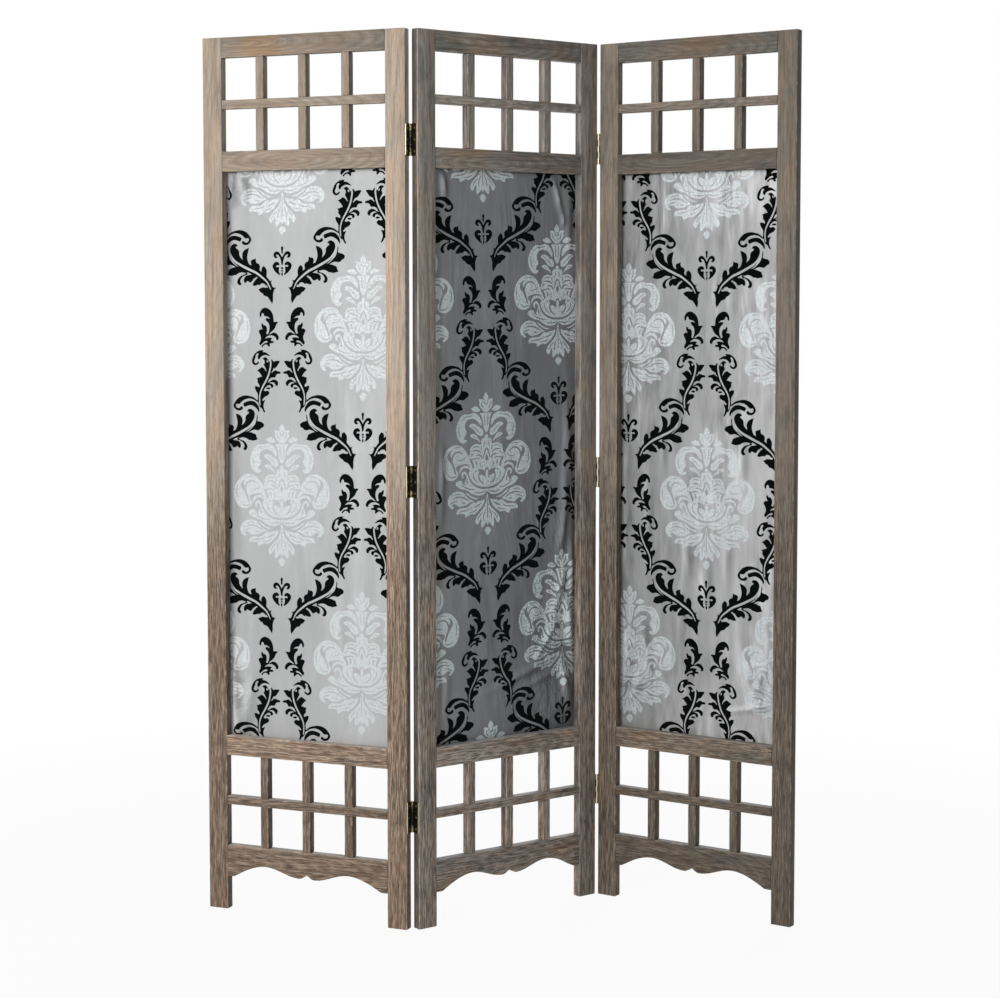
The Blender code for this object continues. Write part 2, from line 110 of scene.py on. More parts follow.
class Value:
    """A number that varies over a surface. Sums written with it add Math nodes."""

    def __init__(self, nodes, socket):
        self.nodes, self.socket = nodes, socket

    def maths(self, operation, *others):
        inputs = {0: self, **dict(enumerate(others, start=1))}
        return self.nodes.make("ShaderNodeMath", {"operation": operation}, inputs)

    def __add__(self, other):
        return self.maths("ADD", other)

    def __sub__(self, other):
        return self.maths("SUBTRACT", other)

    def __mul__(self, other):
        return self.maths("MULTIPLY", other)

    def __rsub__(self, other):
        return self * -1 + other

    __radd__ = __add__
    __rmul__ = __mul__

    def band(self, low, high):
        """0 below low, 1 above high and smooth between. With low above high it falls instead."""
        inputs = {"Value": self, "From Min": min(low, high), "From Max": max(low, high)}
        inputs |= {"To Min": 0.0 if low < high else 1.0, "To Max": 1.0 if low < high else 0.0}
        return self.nodes.make("ShaderNodeMapRange", {"interpolation_type": "SMOOTHSTEP"}, inputs)


class Nodes:
    """A node tree. make() adds a node from its type, its settings and the values or links of its inputs."""

    def __init__(self, tree):
        self.tree = tree

    def make(self, kind, settings=None, inputs=None, output=0):
        node = self.tree.nodes.new(kind)
        for key, value in (settings or {}).items():
            if key == "stops":
                self.fill_ramp(node.color_ramp, value)
            else:
                setattr(node, key, value)
        for key, value in (inputs or {}).items():
            self.feed(node.inputs[key], value)
        return Value(self, node.outputs[output])

    def feed(self, socket, value):
        if isinstance(value, Value):
            self.tree.links.new(value.socket, socket)
        elif socket.type == "RGBA" and len(value) == 3:
            socket.default_value = (*value, 1.0)
        else:
            socket.default_value = value

    def fill_ramp(self, ramp, stops):
        while len(ramp.elements) < len(stops):
            ramp.elements.new(0.5)
        for element, (place, colour) in zip(ramp.elements, stops):
            element.position, element.color = place, (*colour, 1.0)

    def seen_directly(self):
        """1 where the camera looks, also by way of a mirror or a glass, and 0 where light is gathered."""
        rays = self.make("ShaderNodeLightPath").socket.node.outputs
        seen = Value(self, rays["Is Camera Ray"])
        for kind in ("Is Glossy Ray", "Is Transmission Ray"):
            seen = seen.maths("MAXIMUM", Value(self, rays[kind]))
        return seen

    def end_in(self, output, share, first, second):
        """Ends the tree in the first shader where share is 0 and in the second where it is 1."""
        both = self.make("ShaderNodeMixShader", inputs={0: share, 1: first, 2: second})
        self.feed(self.tree.nodes[output].inputs["Surface"], both)


class Finish(Nodes):
    """One material. A value that is set later doesn't need its constant."""

    def __init__(self, name, roughness=0.5, metallic=0.0, **constants):
        self.material = bpy.data.materials.new(name)
        self.material.use_nodes = True
        super().__init__(self.material.node_tree)
        self.shader = self.tree.nodes["Principled BSDF"]
        self.shader.inputs["Roughness"].default_value = roughness
        self.shader.inputs["Metallic"].default_value = metallic
        for socket, value in constants.items():
            self.shader.inputs[socket.replace("_", " ")].default_value = value

    def set(self, socket, value):
        self.feed(self.shader.inputs[socket], value)

    def axes(self, panel):
        """Across, depth and height in the panel's frame."""
        place = Matrix.Rotation(-panel.turn, 3, "Z") @ -panel.origin
        coordinates = self.make("ShaderNodeTexCoord", output=3)
        turned = self.make("ShaderNodeMapping", inputs={
            "Vector": coordinates, "Location": place, "Rotation": (0, 0, -panel.turn)})
        parts = self.make("ShaderNodeSeparateXYZ", inputs={0: turned}).socket.node.outputs
        return [Value(self, part) for part in parts]

    def grain(self, x, y, z, detail, roughness=0.55):
        """Noise with its place given as three values, each already multiplied by its number of cycles."""
        where = self.make("ShaderNodeCombineXYZ", inputs={0: x, 1: y, 2: z})
        inputs = {"Vector": where, "Scale": 1.0, "Detail": detail, "Roughness": roughness}
        return self.make("ShaderNodeTexNoise", inputs=inputs)

    def speckle(self, axes, cycles, detail):
        """Noise that is alike in every direction."""
        return self.grain(*(axis * cycles for axis in axes), detail)

    def mix(self, share, first, second):
        """The first colour where share is 0, the second where it is 1."""
        return self.make("ShaderNodeMix", {"data_type": "RGBA"}, {0: share, 6: first, 7: second}, output=2)

    def tint(self, share, colour, by):
        """The colour where share is 0, and the colour multiplied by another where it is 1."""
        settings = {"data_type": "RGBA", "blend_type": "MULTIPLY"}
        return self.make("ShaderNodeMix", settings, {0: share, 6: colour, 7: by}, output=2)

    def ramp(self, share, stops):
        return self.make("ShaderNodeValToRGB", {"stops": stops}, {0: share})

    def bump(self, height, distance, strength=1.0):
        inputs = {"Height": height, "Distance": distance, "Strength": strength}
        self.set("Normal", self.make("ShaderNodeBump", inputs=inputs))


# Wood

# Tones of a freshly washed member, as they are on the left panel
WARM_WOOD = (0.374, 0.292, 0.224)
GREY_WOOD = (0.322, 0.287, 0.245)
DARK_GRAIN = (0.115, 0.083, 0.060)
PALE_GRAIN = (0.580, 0.500, 0.415)
WORN_EDGE = (0.600, 0.500, 0.390)

# The screen is weathered low down: from where to where, and the tones of the dust in the grain and on rails
WEATHERED = (1.02, 0.62)
DUSTY_GRAIN = (0.400, 0.385, 0.360)
SHELF_TONE = (0.400, 0.385, 0.365)

# How the stain differs from panel to panel, where on the middle panel it is lifted as painted light, from
# member to member and towards the floor; then painted light and shade on the members' sides and on the sides
# of those stiles whose outer edge shows; and the stain on the stiles' sawn ends
PANEL_STAIN_AND_LIGHT = {"left": (1.05, 1.00, 0.95), "middle": (1.16, 1.24, 1.33), "right": (0.62, 0.61, 0.59)}
MEMBER_STAIN = {
    "left_stile_left": 1.12, "left_stile_right": 1.36, "left_top_rail": 0.72, "left_upper_rail": 0.87,
    "left_lower_rail": 1.56, "left_bottom_rail": 1.12, "left_upper_crossbar": 0.92, "middle_stile_left": 1.02,
    "middle_stile_right": 0.84, "middle_top_rail": 0.76, "middle_upper_rail": 0.78,
    "middle_lower_rail": 1.10, "right_stile_left": 1.42, "right_stile_right": 0.98, "right_top_rail": 0.73,
    "right_upper_rail": 0.67, "right_lower_rail": 1.50,
}
LOW_STAIN = {"left": (0.50, 0.44, 0.395), "middle": (0.88, 0.82, 0.78), "right": (0.61, 0.57, 0.53)}
SIDE_PAINTED_LIGHT = {"left": (0.92, 0.98, 1.04), "middle": (1.30, 1.28, 1.30), "right": (0.90, 0.92, 0.92)}
OUTER_EDGE_PAINTED_LIGHT = {"left": (1.06, 1.13, 1.22), "middle": (0.36, 0.34, 0.33), "right": (0.90, 0.92, 0.92)}
OUTER_STILES = ("left_stile_right", "middle_stile_left", "right_stile_right")
END_STAIN = (0.55, 0.52, 0.50)

# Blotches of the wash: how strong they are on each panel, and their tints on the faces and on the sides
BLOTCHES = {"left": 0.35, "middle": 0.85, "right": 0.85}
DARK_BLOTCH = (0.62, 0.69, 0.73)
WARM_BLOTCH = (1.24, 1.06, 0.90)
SIDE_BLOTCH = (0.50, 0.52, 0.56)

# How strongly the grain shows on each panel where it isn't weathered, and where it is
FRESH_GRAIN = {"left": 0.60, "middle": 1.0, "right": 0.85}
WEATHERED_GRAIN = 1.15

# The right panel's upper bars are bare at their ends: the tone, the tenon's length and the reach beyond it
BARE_TONE = (0.620, 0.480, 0.310)
BAR_TENON = 0.005
BARE_REACH = (0.0040, 0.0028)

# The wood's figure: cycles for each metre along and across the grain, then the noise's detail and roughness
GRAIN_PATCHES = (7, 34, 4, 0.60)
GRAIN_STREAKS = (6, 165, 4, 0.68)
GRAIN_DASHES = (30, 400, 2, 0.70)
GRAIN_PORES = (110, 1500, 2, 0.55)
BLOTCH_SHAPES = (9, 24, 3, 0.60)
CHIPS = (45, 150, 3, 0.55)
RING_WAVES = (3.5, 9, 2, 0.55)

# Patches in the stain: the middle along the member, the reach, and the tint
STAIN_PATCHES = {
    "left_top_rail": [(-0.085, 0.060, (1.16, 0.98, 0.78)), (0.185, 0.050, (0.72, 0.82, 0.84))],
    "middle_upper_rail": [(-0.10, 0.070, (1.05, 0.98, 0.88))],
    "middle_top_rail": [(-0.145, 0.055, (0.66, 0.74, 0.74)), (-0.060, 0.060, (1.14, 1.00, 0.88))],
    "right_top_rail": [(-0.150, 0.060, (0.82, 0.94, 1.00)), (0.000, 0.080, (1.10, 1.00, 0.88)),
                       (0.150, 0.050, (0.84, 0.94, 1.00))],
}

# Growth rings, in millimetres: the distance between them, how far behind the face the pith lies, how fast it
# nears the face and how far aside it may lie. Then how far from the middle it may start, in metres, and how
# far the rings wander in depth and aside
RAIL_RINGS = (5.2, 16.0, 0.16, 9)
STILE_RINGS = (4.4, 30.0, 0.03, 22)
PITH_ALONG = 0.09
RING_WANDER = (26, 14)


class Member:
    """A wooden member while it is stained: its finish and stain, the ways along and beside its grain from its
    middle, and the noises of its grain."""

    def __init__(self, panel, node, number):
        self.node, self.side = node, panel.side
        self.upright = "stile" in node or "bar_" in node
        self.finish = Finish(f"{node}_wood")
        self.offset = 3.7 * number + 11 * len(panel.side)
        strength = MEMBER_STAIN.get(node, 1 + 0.10 * math.sin(5 * number))
        # The panel's part of this is painted light on the middle panel, lifted to stand in for light;
        # elsewhere it is the wood's own tone
        self.stain = [part * strength for part in PANEL_STAIN_AND_LIGHT[panel.side]]
        axes = self.finish.axes(panel)
        self.depth, self.weathered = axes[1], axes[2].band(*WEATHERED)
        box = list(zip(*panel.box(node)))
        along, beside = (2, 0) if self.upright else (0, 2)
        self.along, self.beside = (axes[way] - sum(box[way]) / 2 for way in (along, beside))
        self.half_length, self.half_width = ((box[way][1] - box[way][0]) / 2 for way in (along, beside))
        self.patch, self.streak, self.dashes, self.pores = (
            self.figure(*shape) for shape in (GRAIN_PATCHES, GRAIN_STREAKS, GRAIN_DASHES, GRAIN_PORES))

    def figure(self, lengthwise, crosswise, detail, roughness, shift=1):
        """Noise that is drawn out along the grain."""
        place = self.along * lengthwise + shift * self.offset
        return self.finish.grain(place, self.beside * crosswise, self.depth * crosswise, detail, roughness)


def grown_rings(member):
    """Waves of the growth rings, which run to long points where the pith nears the face."""
    spacing, pith, slope, aside = STILE_RINGS if member.upright else RAIL_RINGS
    wander = member.figure(*RING_WAVES) - 0.5
    off_side = math.sin(member.offset * 1.9) * aside * MM
    off_along = math.cos(member.offset * 2.3) * PITH_ALONG
    wander_deep, wander_aside = RING_WANDER
    deep = (member.along - off_along) * slope + wander * wander_deep * MM + member.depth + pith * MM
    beside = member.beside - off_side + wander * wander_aside * MM
    reach = (deep * deep + beside * beside).maths("SQRT")
    return (reach * (2 * math.pi / (spacing * MM))).maths("SINE")


def grained_colour(member):
    """Washed wood with the pale and dark lines of its grain and the patches and blotches of its stain."""
    finish, weathered = member.finish, member.weathered
    patch, streak, dashes = member.patch, member.streak, member.dashes
    warm, grey, dark, pale = (
        multiplied(tone, member.stain) for tone in (WARM_WOOD, GREY_WOOD, DARK_GRAIN, PALE_GRAIN))
    blotch = member.figure(*BLOTCH_SHAPES, shift=2)
    rings = grown_rings(member)
    fresh = FRESH_GRAIN[member.side]
    strength = weathered * (WEATHERED_GRAIN - fresh) + fresh

    colour = finish.mix(patch.band(0.38, 0.62), warm, grey)
    paleness = streak.band(0.46, 0.68) * 0.58 + patch.band(0.55, 0.75) * 0.12
    paleness += dashes.band(0.52, 0.64) * (weathered * 0.60 + 0.20)
    colour = finish.mix((paleness * strength).maths("MINIMUM", 1.0), colour, pale)
    darkness = streak.band(0.50, 0.32) * 0.54 + dashes.band(0.50, 0.36) * (weathered * 0.60 + 0.42)
    darkness = (darkness * strength + member.pores.band(0.45, 0.30) * 0.20).maths("MINIMUM", 0.85)
    colour = finish.mix(darkness, colour, dark)
    ring_lines = rings.band(0.35, 0.95) * patch.band(0.30, 0.55) * (0.24 if member.upright else 0.26)
    colour = finish.mix(ring_lines, colour, dark)
    if not member.upright:
        pale_lines = rings.band(-0.72, -0.96) * streak.band(0.42, 0.58) * strength * 0.60
        colour = finish.mix(pale_lines, colour, pale)

    blotches = BLOTCHES[member.side]
    colour = finish.tint(blotch.band(0.47, 0.34) * blotches, colour, DARK_BLOTCH)
    colour = finish.tint(blotch.band(0.54, 0.68) * blotches, colour, WARM_BLOTCH)
    for place, reach, tint in STAIN_PATCHES.get(member.node, []):
        near = (member.along - place).maths("ABSOLUTE") + (patch - 0.5) * 0.06
        colour = finish.tint(near.band(reach, reach * 0.3), colour, tint)
    return colour


def weathered_wood(panel, node, number):
    """Grey-brown washed wood of one member: grained, dusty low down, and worn pale at its arrises."""
    member = Member(panel, node, number)
    finish, stain, dashes, weathered = member.finish, member.stain, member.dashes, member.weathered
    colour = grained_colour(member)

    from_side = member.half_width - member.beside.maths("ABSOLUTE")
    from_face = FRAME_THICKNESS / 2 - (member.depth - FRAME_THICKNESS / 2).maths("ABSOLUTE")
    from_end = member.half_length - member.along.maths("ABSOLUTE")
    on_side = from_face.band(0.8 * MM, 2.0 * MM)

    colour = finish.tint(weathered, colour, LOW_STAIN[panel.side])
    dust = dashes.band(0.56, 0.72) * weathered * 0.40
    colour = finish.mix(dust, colour, multiplied(DUSTY_GRAIN, stain))
    # Painted light and shade: each member's sides are tinted as they face the lamps, the outer stiles' sides
    # on their own
    side_light_tint = OUTER_EDGE_PAINTED_LIGHT if node in OUTER_STILES else SIDE_PAINTED_LIGHT
    colour = finish.tint(on_side, colour, side_light_tint[panel.side])
    colour = finish.tint(on_side * member.patch.band(0.52, 0.38), colour, SIDE_BLOTCH)
    if node.startswith("right_upper_bar"):
        bare = from_end.band(*(BAR_TENON + reach for reach in BARE_REACH)) * on_side
        colour = finish.mix(bare, colour, BARE_TONE)
    if "stile" in node:
        colour = finish.tint(from_end.band(0.6 * MM, 0.2 * MM), colour, END_STAIN)
    if not member.upright:
        on_top = member.beside.band(member.half_width - 0.8 * MM, member.half_width - 0.3 * MM)
        shelf = on_top * (dashes.band(0.36, 0.60) * 0.5 + 0.4)
        colour = finish.mix(shelf * weathered, colour, multiplied(SHELF_TONE, stain))

    arris = from_side.maths("MAXIMUM", from_face).band(2.4 * MM, 0.5 * MM)
    wear = arris * (member.figure(*CHIPS).band(0.50, 0.64) * 0.75 + 0.10)
    worn = [tone * (0.45 + 0.55 * part) for tone, part in zip(WORN_EDGE, stain)]
    finish.set("Base Color", finish.mix(wear, colour, worn))
    finish.set("Roughness", 0.60 + dashes * 0.25)
    finish.bump(member.streak * 0.5 + dashes * 0.8 + member.pores * 0.3, 0.45 * MM, 0.5)
    return finish.material


def is_wood(node):
    return "hinge" not in node and "cloth" not in node


def rounded_tops(piece, panel):
    """Rounds the upper corners of a stile, the far one of the right panel most."""
    bpy.context.view_layer.objects.active = piece
    corners = {"stile_left": (0.0, TOP_ROUNDING), "stile_right": (PANEL_WIDTH, TOP_ROUNDING)}
    place, radius = corners[piece.name.removeprefix(f"{panel.side}_").removesuffix("_worn")]
    if piece.name.startswith("right_stile_right"):
        radius = WORN_TOP_ROUNDING
    bpy.ops.object.mode_set(mode="EDIT")
    bpy.ops.mesh.select_all(action="DESELECT")
    shape = bmesh.from_edit_mesh(piece.data)
    for edge in shape.edges:
        spots = [vert.co - panel.origin for vert in edge.verts]
        across_off = max(abs(spot.dot(panel.across) - place) for spot in spots)
        if across_off < TOUCHING and min(spot.z for spot in spots) > SCREEN_HEIGHT - TOUCHING:
            edge.select = True
    bmesh.update_edit_mesh(piece.data)
    bpy.ops.mesh.bevel(offset=radius, segments=4)
    bpy.ops.object.mode_set(mode="OBJECT")


def worn_members():
    """Copies of the frame's wooden members with their arrises eased, as handled wood has them."""
    made = []
    for node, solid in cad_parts.items():
        if is_wood(node):
            made.append((node, added(f"{node}_worn", solid.data.copy())))
    bpy.ops.object.select_all(action="DESELECT")
    for _, piece in made:
        piece.select_set(True)
    bpy.context.view_layer.objects.active = made[0][1]
    bpy.ops.object.mode_set(mode="EDIT")
    bpy.ops.mesh.select_mode(type="EDGE")
    bpy.ops.mesh.select_all(action="SELECT")
    bpy.ops.mesh.remove_doubles(threshold=1e-6)
    bpy.ops.mesh.select_all(action="SELECT")
    bpy.ops.mesh.dissolve_limited(angle_limit=math.radians(0.5))
    bpy.ops.object.mode_set(mode="OBJECT")
    for node, piece in made:
        bpy.ops.object.select_all(action="DESELECT")
        piece.select_set(True)
        if "stile" in node:
            rounded_tops(piece, PANELS[node.split("_")[0]])
    for _, piece in made:
        piece.select_set(True)
    bpy.context.view_layer.objects.active = made[0][1]
    bpy.ops.object.mode_set(mode="EDIT")
    bpy.ops.mesh.select_all(action="DESELECT")
    bpy.ops.mesh.edges_select_sharp(sharpness=math.radians(30))
    bpy.ops.mesh.bevel(offset=ARRIS, segments=2, clamp_overlap=False)
    bpy.ops.object.mode_set(mode="OBJECT")
    bpy.ops.object.shade_smooth_by_angle(angle=math.radians(25))
    bpy.ops.object.select_all(action="DESELECT")
    return dict(made)


def dress_wood(panel, members):
    own = sorted(node for node in members if node.startswith(panel.side))
    for number, node in enumerate(own, start=1):
        piece = members[node]
        piece.data.materials.clear()
        piece.data.materials.append(weathered_wood(panel, node, number))
        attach(piece, panel.body)
        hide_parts(node)


# Outlines and ribbons of the pattern, in millimetres. An outline's third number of 1 marks a sharp corner,
# and a ribbon's third number is its half width. Every motif is drawn for the right half and mirrored.
# Heights are above the middle of the medallion below.

LEAVES_LOW = {
    "flock": [
        [(26, 269.5), (30, 273.5), (36, 277), (42, 278), (40.3, 281, 1), (46, 281.3), (53, 279.5),
         (60, 274.5), (65, 266), (66, 259), (63, 254), (57.5, 252.3), (52.5, 254.5), (50, 258.5),
         (52, 260.2, 1), (54.5, 257.5), (58, 256.3), (61, 259.5), (60, 263.5), (58.2, 267.5), (57.3, 272),
         (54, 275.3), (51, 273.8), (53.4, 270.5), (53.2, 266), (51, 263.3), (49, 264), (47, 267.5),
         (42, 270.6), (35, 271.6)],
        [(28.5, 250), (28.5, 256), (29.5, 261), (32, 265), (36, 267.8), (40, 267), (43, 264.5, 1),
         (39, 262.3), (38, 259), (38, 256), (39.8, 253), (38, 249.5), (36, 246), (34, 241), (31, 236),
         (27, 240)],
        [(33.5, 238.5, 1), (36.5, 243), (40, 246.5), (44.5, 248.5), (50, 245), (55, 242.5, 1), (51, 239.5),
         (46.5, 234.5), (44, 230.5, 1), (48, 229.5), (52, 228), (55.7, 227, 1), (53.2, 223.5), (54, 219.5),
         (51.5, 216), (49.7, 214), (49.2, 209, 1), (52, 210.5), (56, 212), (59.7, 211.5, 1), (59, 206),
         (56, 201), (53.6, 197), (53.2, 190), (54, 182.5, 1), (50, 181), (46, 190), (40, 210), (33, 226)],
        [(4.5, 259), (8, 260.3), (14, 260.2), (18, 258.8), (20, 261), (21.5, 263), (24, 263.5, 1),
         (25, 255), (26, 240), (23, 238.3, 1), (20, 242), (18.5, 245.5), (15, 246.5), (11, 249.5),
         (8, 254)],
        [(2.5, 237.5), (5, 239.7), (10, 240.5), (14, 242.3), (18, 241), (22.5, 237.5), (26, 240), (31, 230),
         (32, 221, 1), (27, 225.5), (22, 228.2), (15.5, 228.2), (12.5, 233), (9, 235.2), (4, 235.3)],
        [(8.5, 215), (8.5, 219), (12, 222.7), (17, 224.5), (22, 223.6), (27, 220.3), (33, 217), (30, 214),
         (27, 217.9), (21, 219), (17, 217.5), (14.6, 214.8), (13.5, 212), (10, 212.2)],
        [(18.3, 211.5), (19.2, 214), (22, 216.5), (27, 217.3), (33, 218), (40, 208), (36, 209), (31, 213),
         (26, 213.3), (24.6, 212), (24.3, 209.3), (21, 208.2)],
        [(25, 207.6), (27, 209.3), (30, 209.6), (34.3, 208.3), (34.3, 206.6), (30, 205.5), (26.5, 205.9)],
        [(27.3, 198.5), (29, 201.5), (33, 203.3), (36.5, 201.7), (40, 203), (46, 196), (46.5, 186),
         (44.5, 183, 1), (42, 186.5), (38, 190.5), (33, 192.7), (29.5, 195)],
        [(37, 184.2), (38.7, 185.2), (41.5, 183), (46, 186), (51.5, 184), (51, 175), (48, 172), (44, 168),
         (41, 163), (38.3, 160.4), (36.4, 161.8), (38.5, 166), (40.2, 171), (40, 177), (38, 181.5)],
    ],
    "flock ribbons": [
        [(26.5, 258, 2.5), (26, 249, 4.5), (28, 240, 5.5), (33, 229, 6.5), (39, 218, 6.5), (45, 206, 6),
         (48.5, 194, 4.5), (49, 182, 3.6), (46, 172, 2.5)],
    ],
    "pale ribbons": [
        [(34, 269.3, 1.2), (29.5, 267.6, 1.4), (26, 263, 1.5), (24.6, 257, 1.6), (25.2, 250, 1.6),
         (27.3, 240, 1.6), (31, 230, 1.7), (36.3, 220, 1.6), (42.6, 210, 1.5), (47.3, 200, 1.2),
         (49.2, 190, 1.2), (48.8, 180, 1.2), (48, 175, 0.8)],
        [(32.5, 261, 1.3), (31.8, 258.5, 1.3)],
    ],
}

LEAVES_MIDDLE = {
    "flock": [
        [(9, 334.3), (12, 335.8), (15, 335.2), (18.2, 335.8, 1), (18.4, 341), (19.5, 348), (23, 355),
         (29, 360.5), (36, 363), (43, 361.5), (48, 355.5), (49.5, 349), (47.7, 345), (45.5, 346), (45, 350),
         (42.5, 353), (40.3, 351.5), (39.5, 348), (36.5, 346.5), (31, 345.5), (25.5, 340.7, 1),
         (28.5, 342.2), (32.5, 343), (36.2, 341.5), (35.5, 338.8), (31.5, 335.5), (28.5, 331), (27.5, 325),
         (28.2, 319), (31, 311.5, 1), (28.5, 311, 1), (24, 315.8), (19.5, 319), (15.5, 323.5), (13, 329),
         (11.5, 331.8), (9.3, 332.3)],
        [(33.2, 324), (36, 328.8), (40, 329.2), (42, 332.3), (44, 334), (45.2, 331.5), (44.8, 326.5),
         (42.3, 321.5, 1), (46, 322), (50, 320), (51, 316.8), (48.5, 312), (46.3, 306), (47.2, 300),
         (49.8, 295), (48.5, 291), (46.2, 291), (42, 295.8), (37.5, 300), (36, 306), (34.5, 313),
         (32.9, 318.5)],
        [(10.5, 300), (13, 300.7), (12.5, 303.3), (16, 307), (21.5, 309.3), (28, 309.3), (34, 306.8),
         (39.5, 301), (44, 303), (42, 310), (37, 314), (31, 311.5), (26, 311.8), (21, 314.5), (16, 315),
         (10.5, 311.8), (7, 306), (7.5, 302)],
        [(21.3, 303.5), (24.5, 300.5), (23.5, 299), (19.5, 298.6), (17.5, 296.5), (20, 294.5), (25, 294.6),
         (27, 293), (26, 290), (27.8, 287.4), (30.3, 288.8), (32.5, 291.5), (36.5, 292), (40.5, 289.8),
         (42.8, 287), (45, 288.5), (42.5, 292), (38, 294.8), (33.5, 295.5), (31.2, 297), (33, 299),
         (37, 298.3), (41, 296), (44.5, 293), (47, 295), (41, 301), (34, 304.3), (27, 305.2)],
    ],
}

LEAVES_HIGH = {
    "flock": [
        [(125, 499, 1), (119, 505.5), (111.5, 510.5), (102.5, 513), (94, 514), (85, 512.4), (77.5, 508.6),
         (71.5, 502.4), (67.5, 495.5), (69, 490.5), (74, 486), (80, 484.6), (86, 486), (89, 490),
         (87, 492.4), (84, 493), (82.5, 490.5), (79, 489.5), (74.5, 491), (73, 495), (74.5, 498), (79, 497),
         (82, 498), (86.5, 502.4), (91.5, 505.5), (97.5, 507.4), (104, 508), (112, 506), (118, 502.5)],
        [(89.5, 498.6), (90.2, 494), (92.5, 491.7), (99, 494), (106.5, 495), (114, 492), (120, 487),
         (123.5, 481, 1), (125.2, 484), (123.5, 492), (118.5, 498.6), (114, 502), (106, 503.7), (99, 502.5),
         (93, 500.5)],
        [(97.5, 482.4), (99.5, 486.3), (104, 488), (109.5, 486.5), (113.7, 482), (114.8, 476), (113, 469),
         (109, 462.5), (102.5, 456.5), (94, 451.5), (84, 447), (76, 443.5), (80, 449), (86, 456),
         (91, 460.5), (94, 466), (94.3, 472), (97, 476.5), (101, 479), (102, 481.5), (99.5, 482.8)],
        [(72.5, 479, 1), (78, 477.5), (84, 474), (87.5, 468), (87.5, 461), (84.5, 453), (76, 444),
         (71.5, 445.5), (75, 453), (76.6, 461), (75, 470)],
        [(57.5, 459, 1), (61, 457), (65.5, 456.3), (69, 452.5), (67.5, 447), (66, 440), (56, 432),
         (49, 431), (49.3, 437), (48.4, 443), (51.5, 448), (55.5, 449.3), (57.3, 453)],
        [(39.5, 443.2, 1), (44, 440.5), (45.3, 435.5), (44.5, 430), (46, 424), (36, 413), (29, 413),
         (33, 420), (34, 425), (33.3, 431), (34.5, 437), (37.5, 441)],
        [(22, 416, 1), (26, 414), (33, 416), (33, 406), (27, 400), (25, 408)],
        [(12.5, 401.5, 1), (17, 401), (24, 404), (24, 394), (20, 388), (17.5, 396)],
        [(101.5, 445.5), (109, 451.7), (116.5, 460.5), (120.2, 478, 1), (121.5, 471.7), (120.2, 465.5),
         (124, 463.6), (130.2, 462), (135.2, 458, 1), (134, 453), (129, 450.5), (126.5, 448), (121.5, 446),
         (114, 447.4), (106.5, 445), (98, 440), (92, 442)],
        [(88, 442), (99, 442.4), (106.5, 442.4), (112.5, 440), (117.5, 438), (119, 433), (121.5, 428.6, 1),
         (115.2, 426.7), (109, 426), (105.2, 427.4), (101.5, 427.4), (96.5, 430.5), (89, 432.4), (78, 431),
         (74, 436)],
        [(78, 432), (82, 428.5), (90, 425.8), (96, 420.8), (98.7, 414.5), (96.5, 409), (92, 407.3),
         (89, 410), (91.5, 413), (91.8, 416.5), (89.5, 421), (84.5, 425.2), (76, 428)],
        [(71.5, 427), (79, 425.5), (83.5, 420.5), (84, 415.5), (82, 411.7), (78.5, 413), (76.5, 415.5, 1),
         (71.5, 413), (68.5, 412.4), (65, 415.5), (62.5, 419), (57, 422), (60, 428)],
        [(51, 421), (57.5, 418), (62, 413), (64, 409), (65.2, 406.7, 1), (60, 405.5), (52.5, 407.4),
         (48.5, 406.7), (45, 410), (39, 409), (34, 404), (38, 414)],
        [(32.5, 401.7), (42.5, 402.4), (52, 398.6, 1), (47.5, 393), (42.5, 390.5), (40, 386.7), (32.5, 384),
         (29, 380.5), (21.5, 370, 1), (19.5, 378), (20, 390), (20, 400), (25, 408)],
    ],
    "flock ribbons": [
        [(112, 468, 2), (103, 456, 5), (90, 448, 7), (76, 441, 7.5), (62, 434, 7.5), (48, 426, 7),
         (36, 416, 6), (26, 404, 4.5), (21, 388, 1.5)],
    ],
    "pale ribbons": [
        [(116.8, 481, 0.8), (116, 473, 1.3), (111.8, 463.5, 1.7), (104, 454.3, 2), (94, 448, 2.2),
         (81.5, 441.7, 2.3), (69, 436, 2.3), (56.5, 430.5, 2.1), (44, 421.7, 1.8), (32.5, 411.7, 1.4),
         (25, 398, 0.7)],
    ],
}

LILY = {
    "flock": [
        [(0, 480.3), (2.1, 479), (2.5, 475.5), (1.7, 471.5), (2, 468.5), (0, 465, 1)],
        [(0, 459, 1), (3.2, 464), (7, 468.7), (11.5, 470.4), (16, 469.2), (18.8, 465), (18, 460.5),
         (14.5, 457.6), (11, 458), (9.7, 459.8), (12, 460.8), (13, 462.7), (11.5, 464.3), (8.6, 463.4),
         (5.8, 460), (3.5, 455), (2.2, 449), (1.6, 444.6), (0, 444.2, 1)],
        [(5.2, 445.5), (8, 449.5), (12, 450.8), (17, 449), (20.5, 444.5), (20.3, 439.5), (17, 434),
         (12.5, 429.3), (8, 426.2), (4.7, 424.8), (4, 426.5), (6.3, 430), (6.9, 435), (6, 439.8),
         (8.5, 441), (8.3, 443.5), (6.5, 444.2)],
        [(0, 430.5, 1), (1.6, 429), (1.5, 425), (0, 422.5, 1)],
        [(0, 440.5, 1), (2.4, 439.2), (2.4, 437), (0, 435.8, 1)],
        [(0, 435.2, 1), (1.9, 434.2), (1.9, 432.2), (0, 431.2, 1)],
    ],
    "pale ribbons": [
        [(10.2, 442.4, 1.9), (11.6, 441.8, 1.7)],
    ],
}

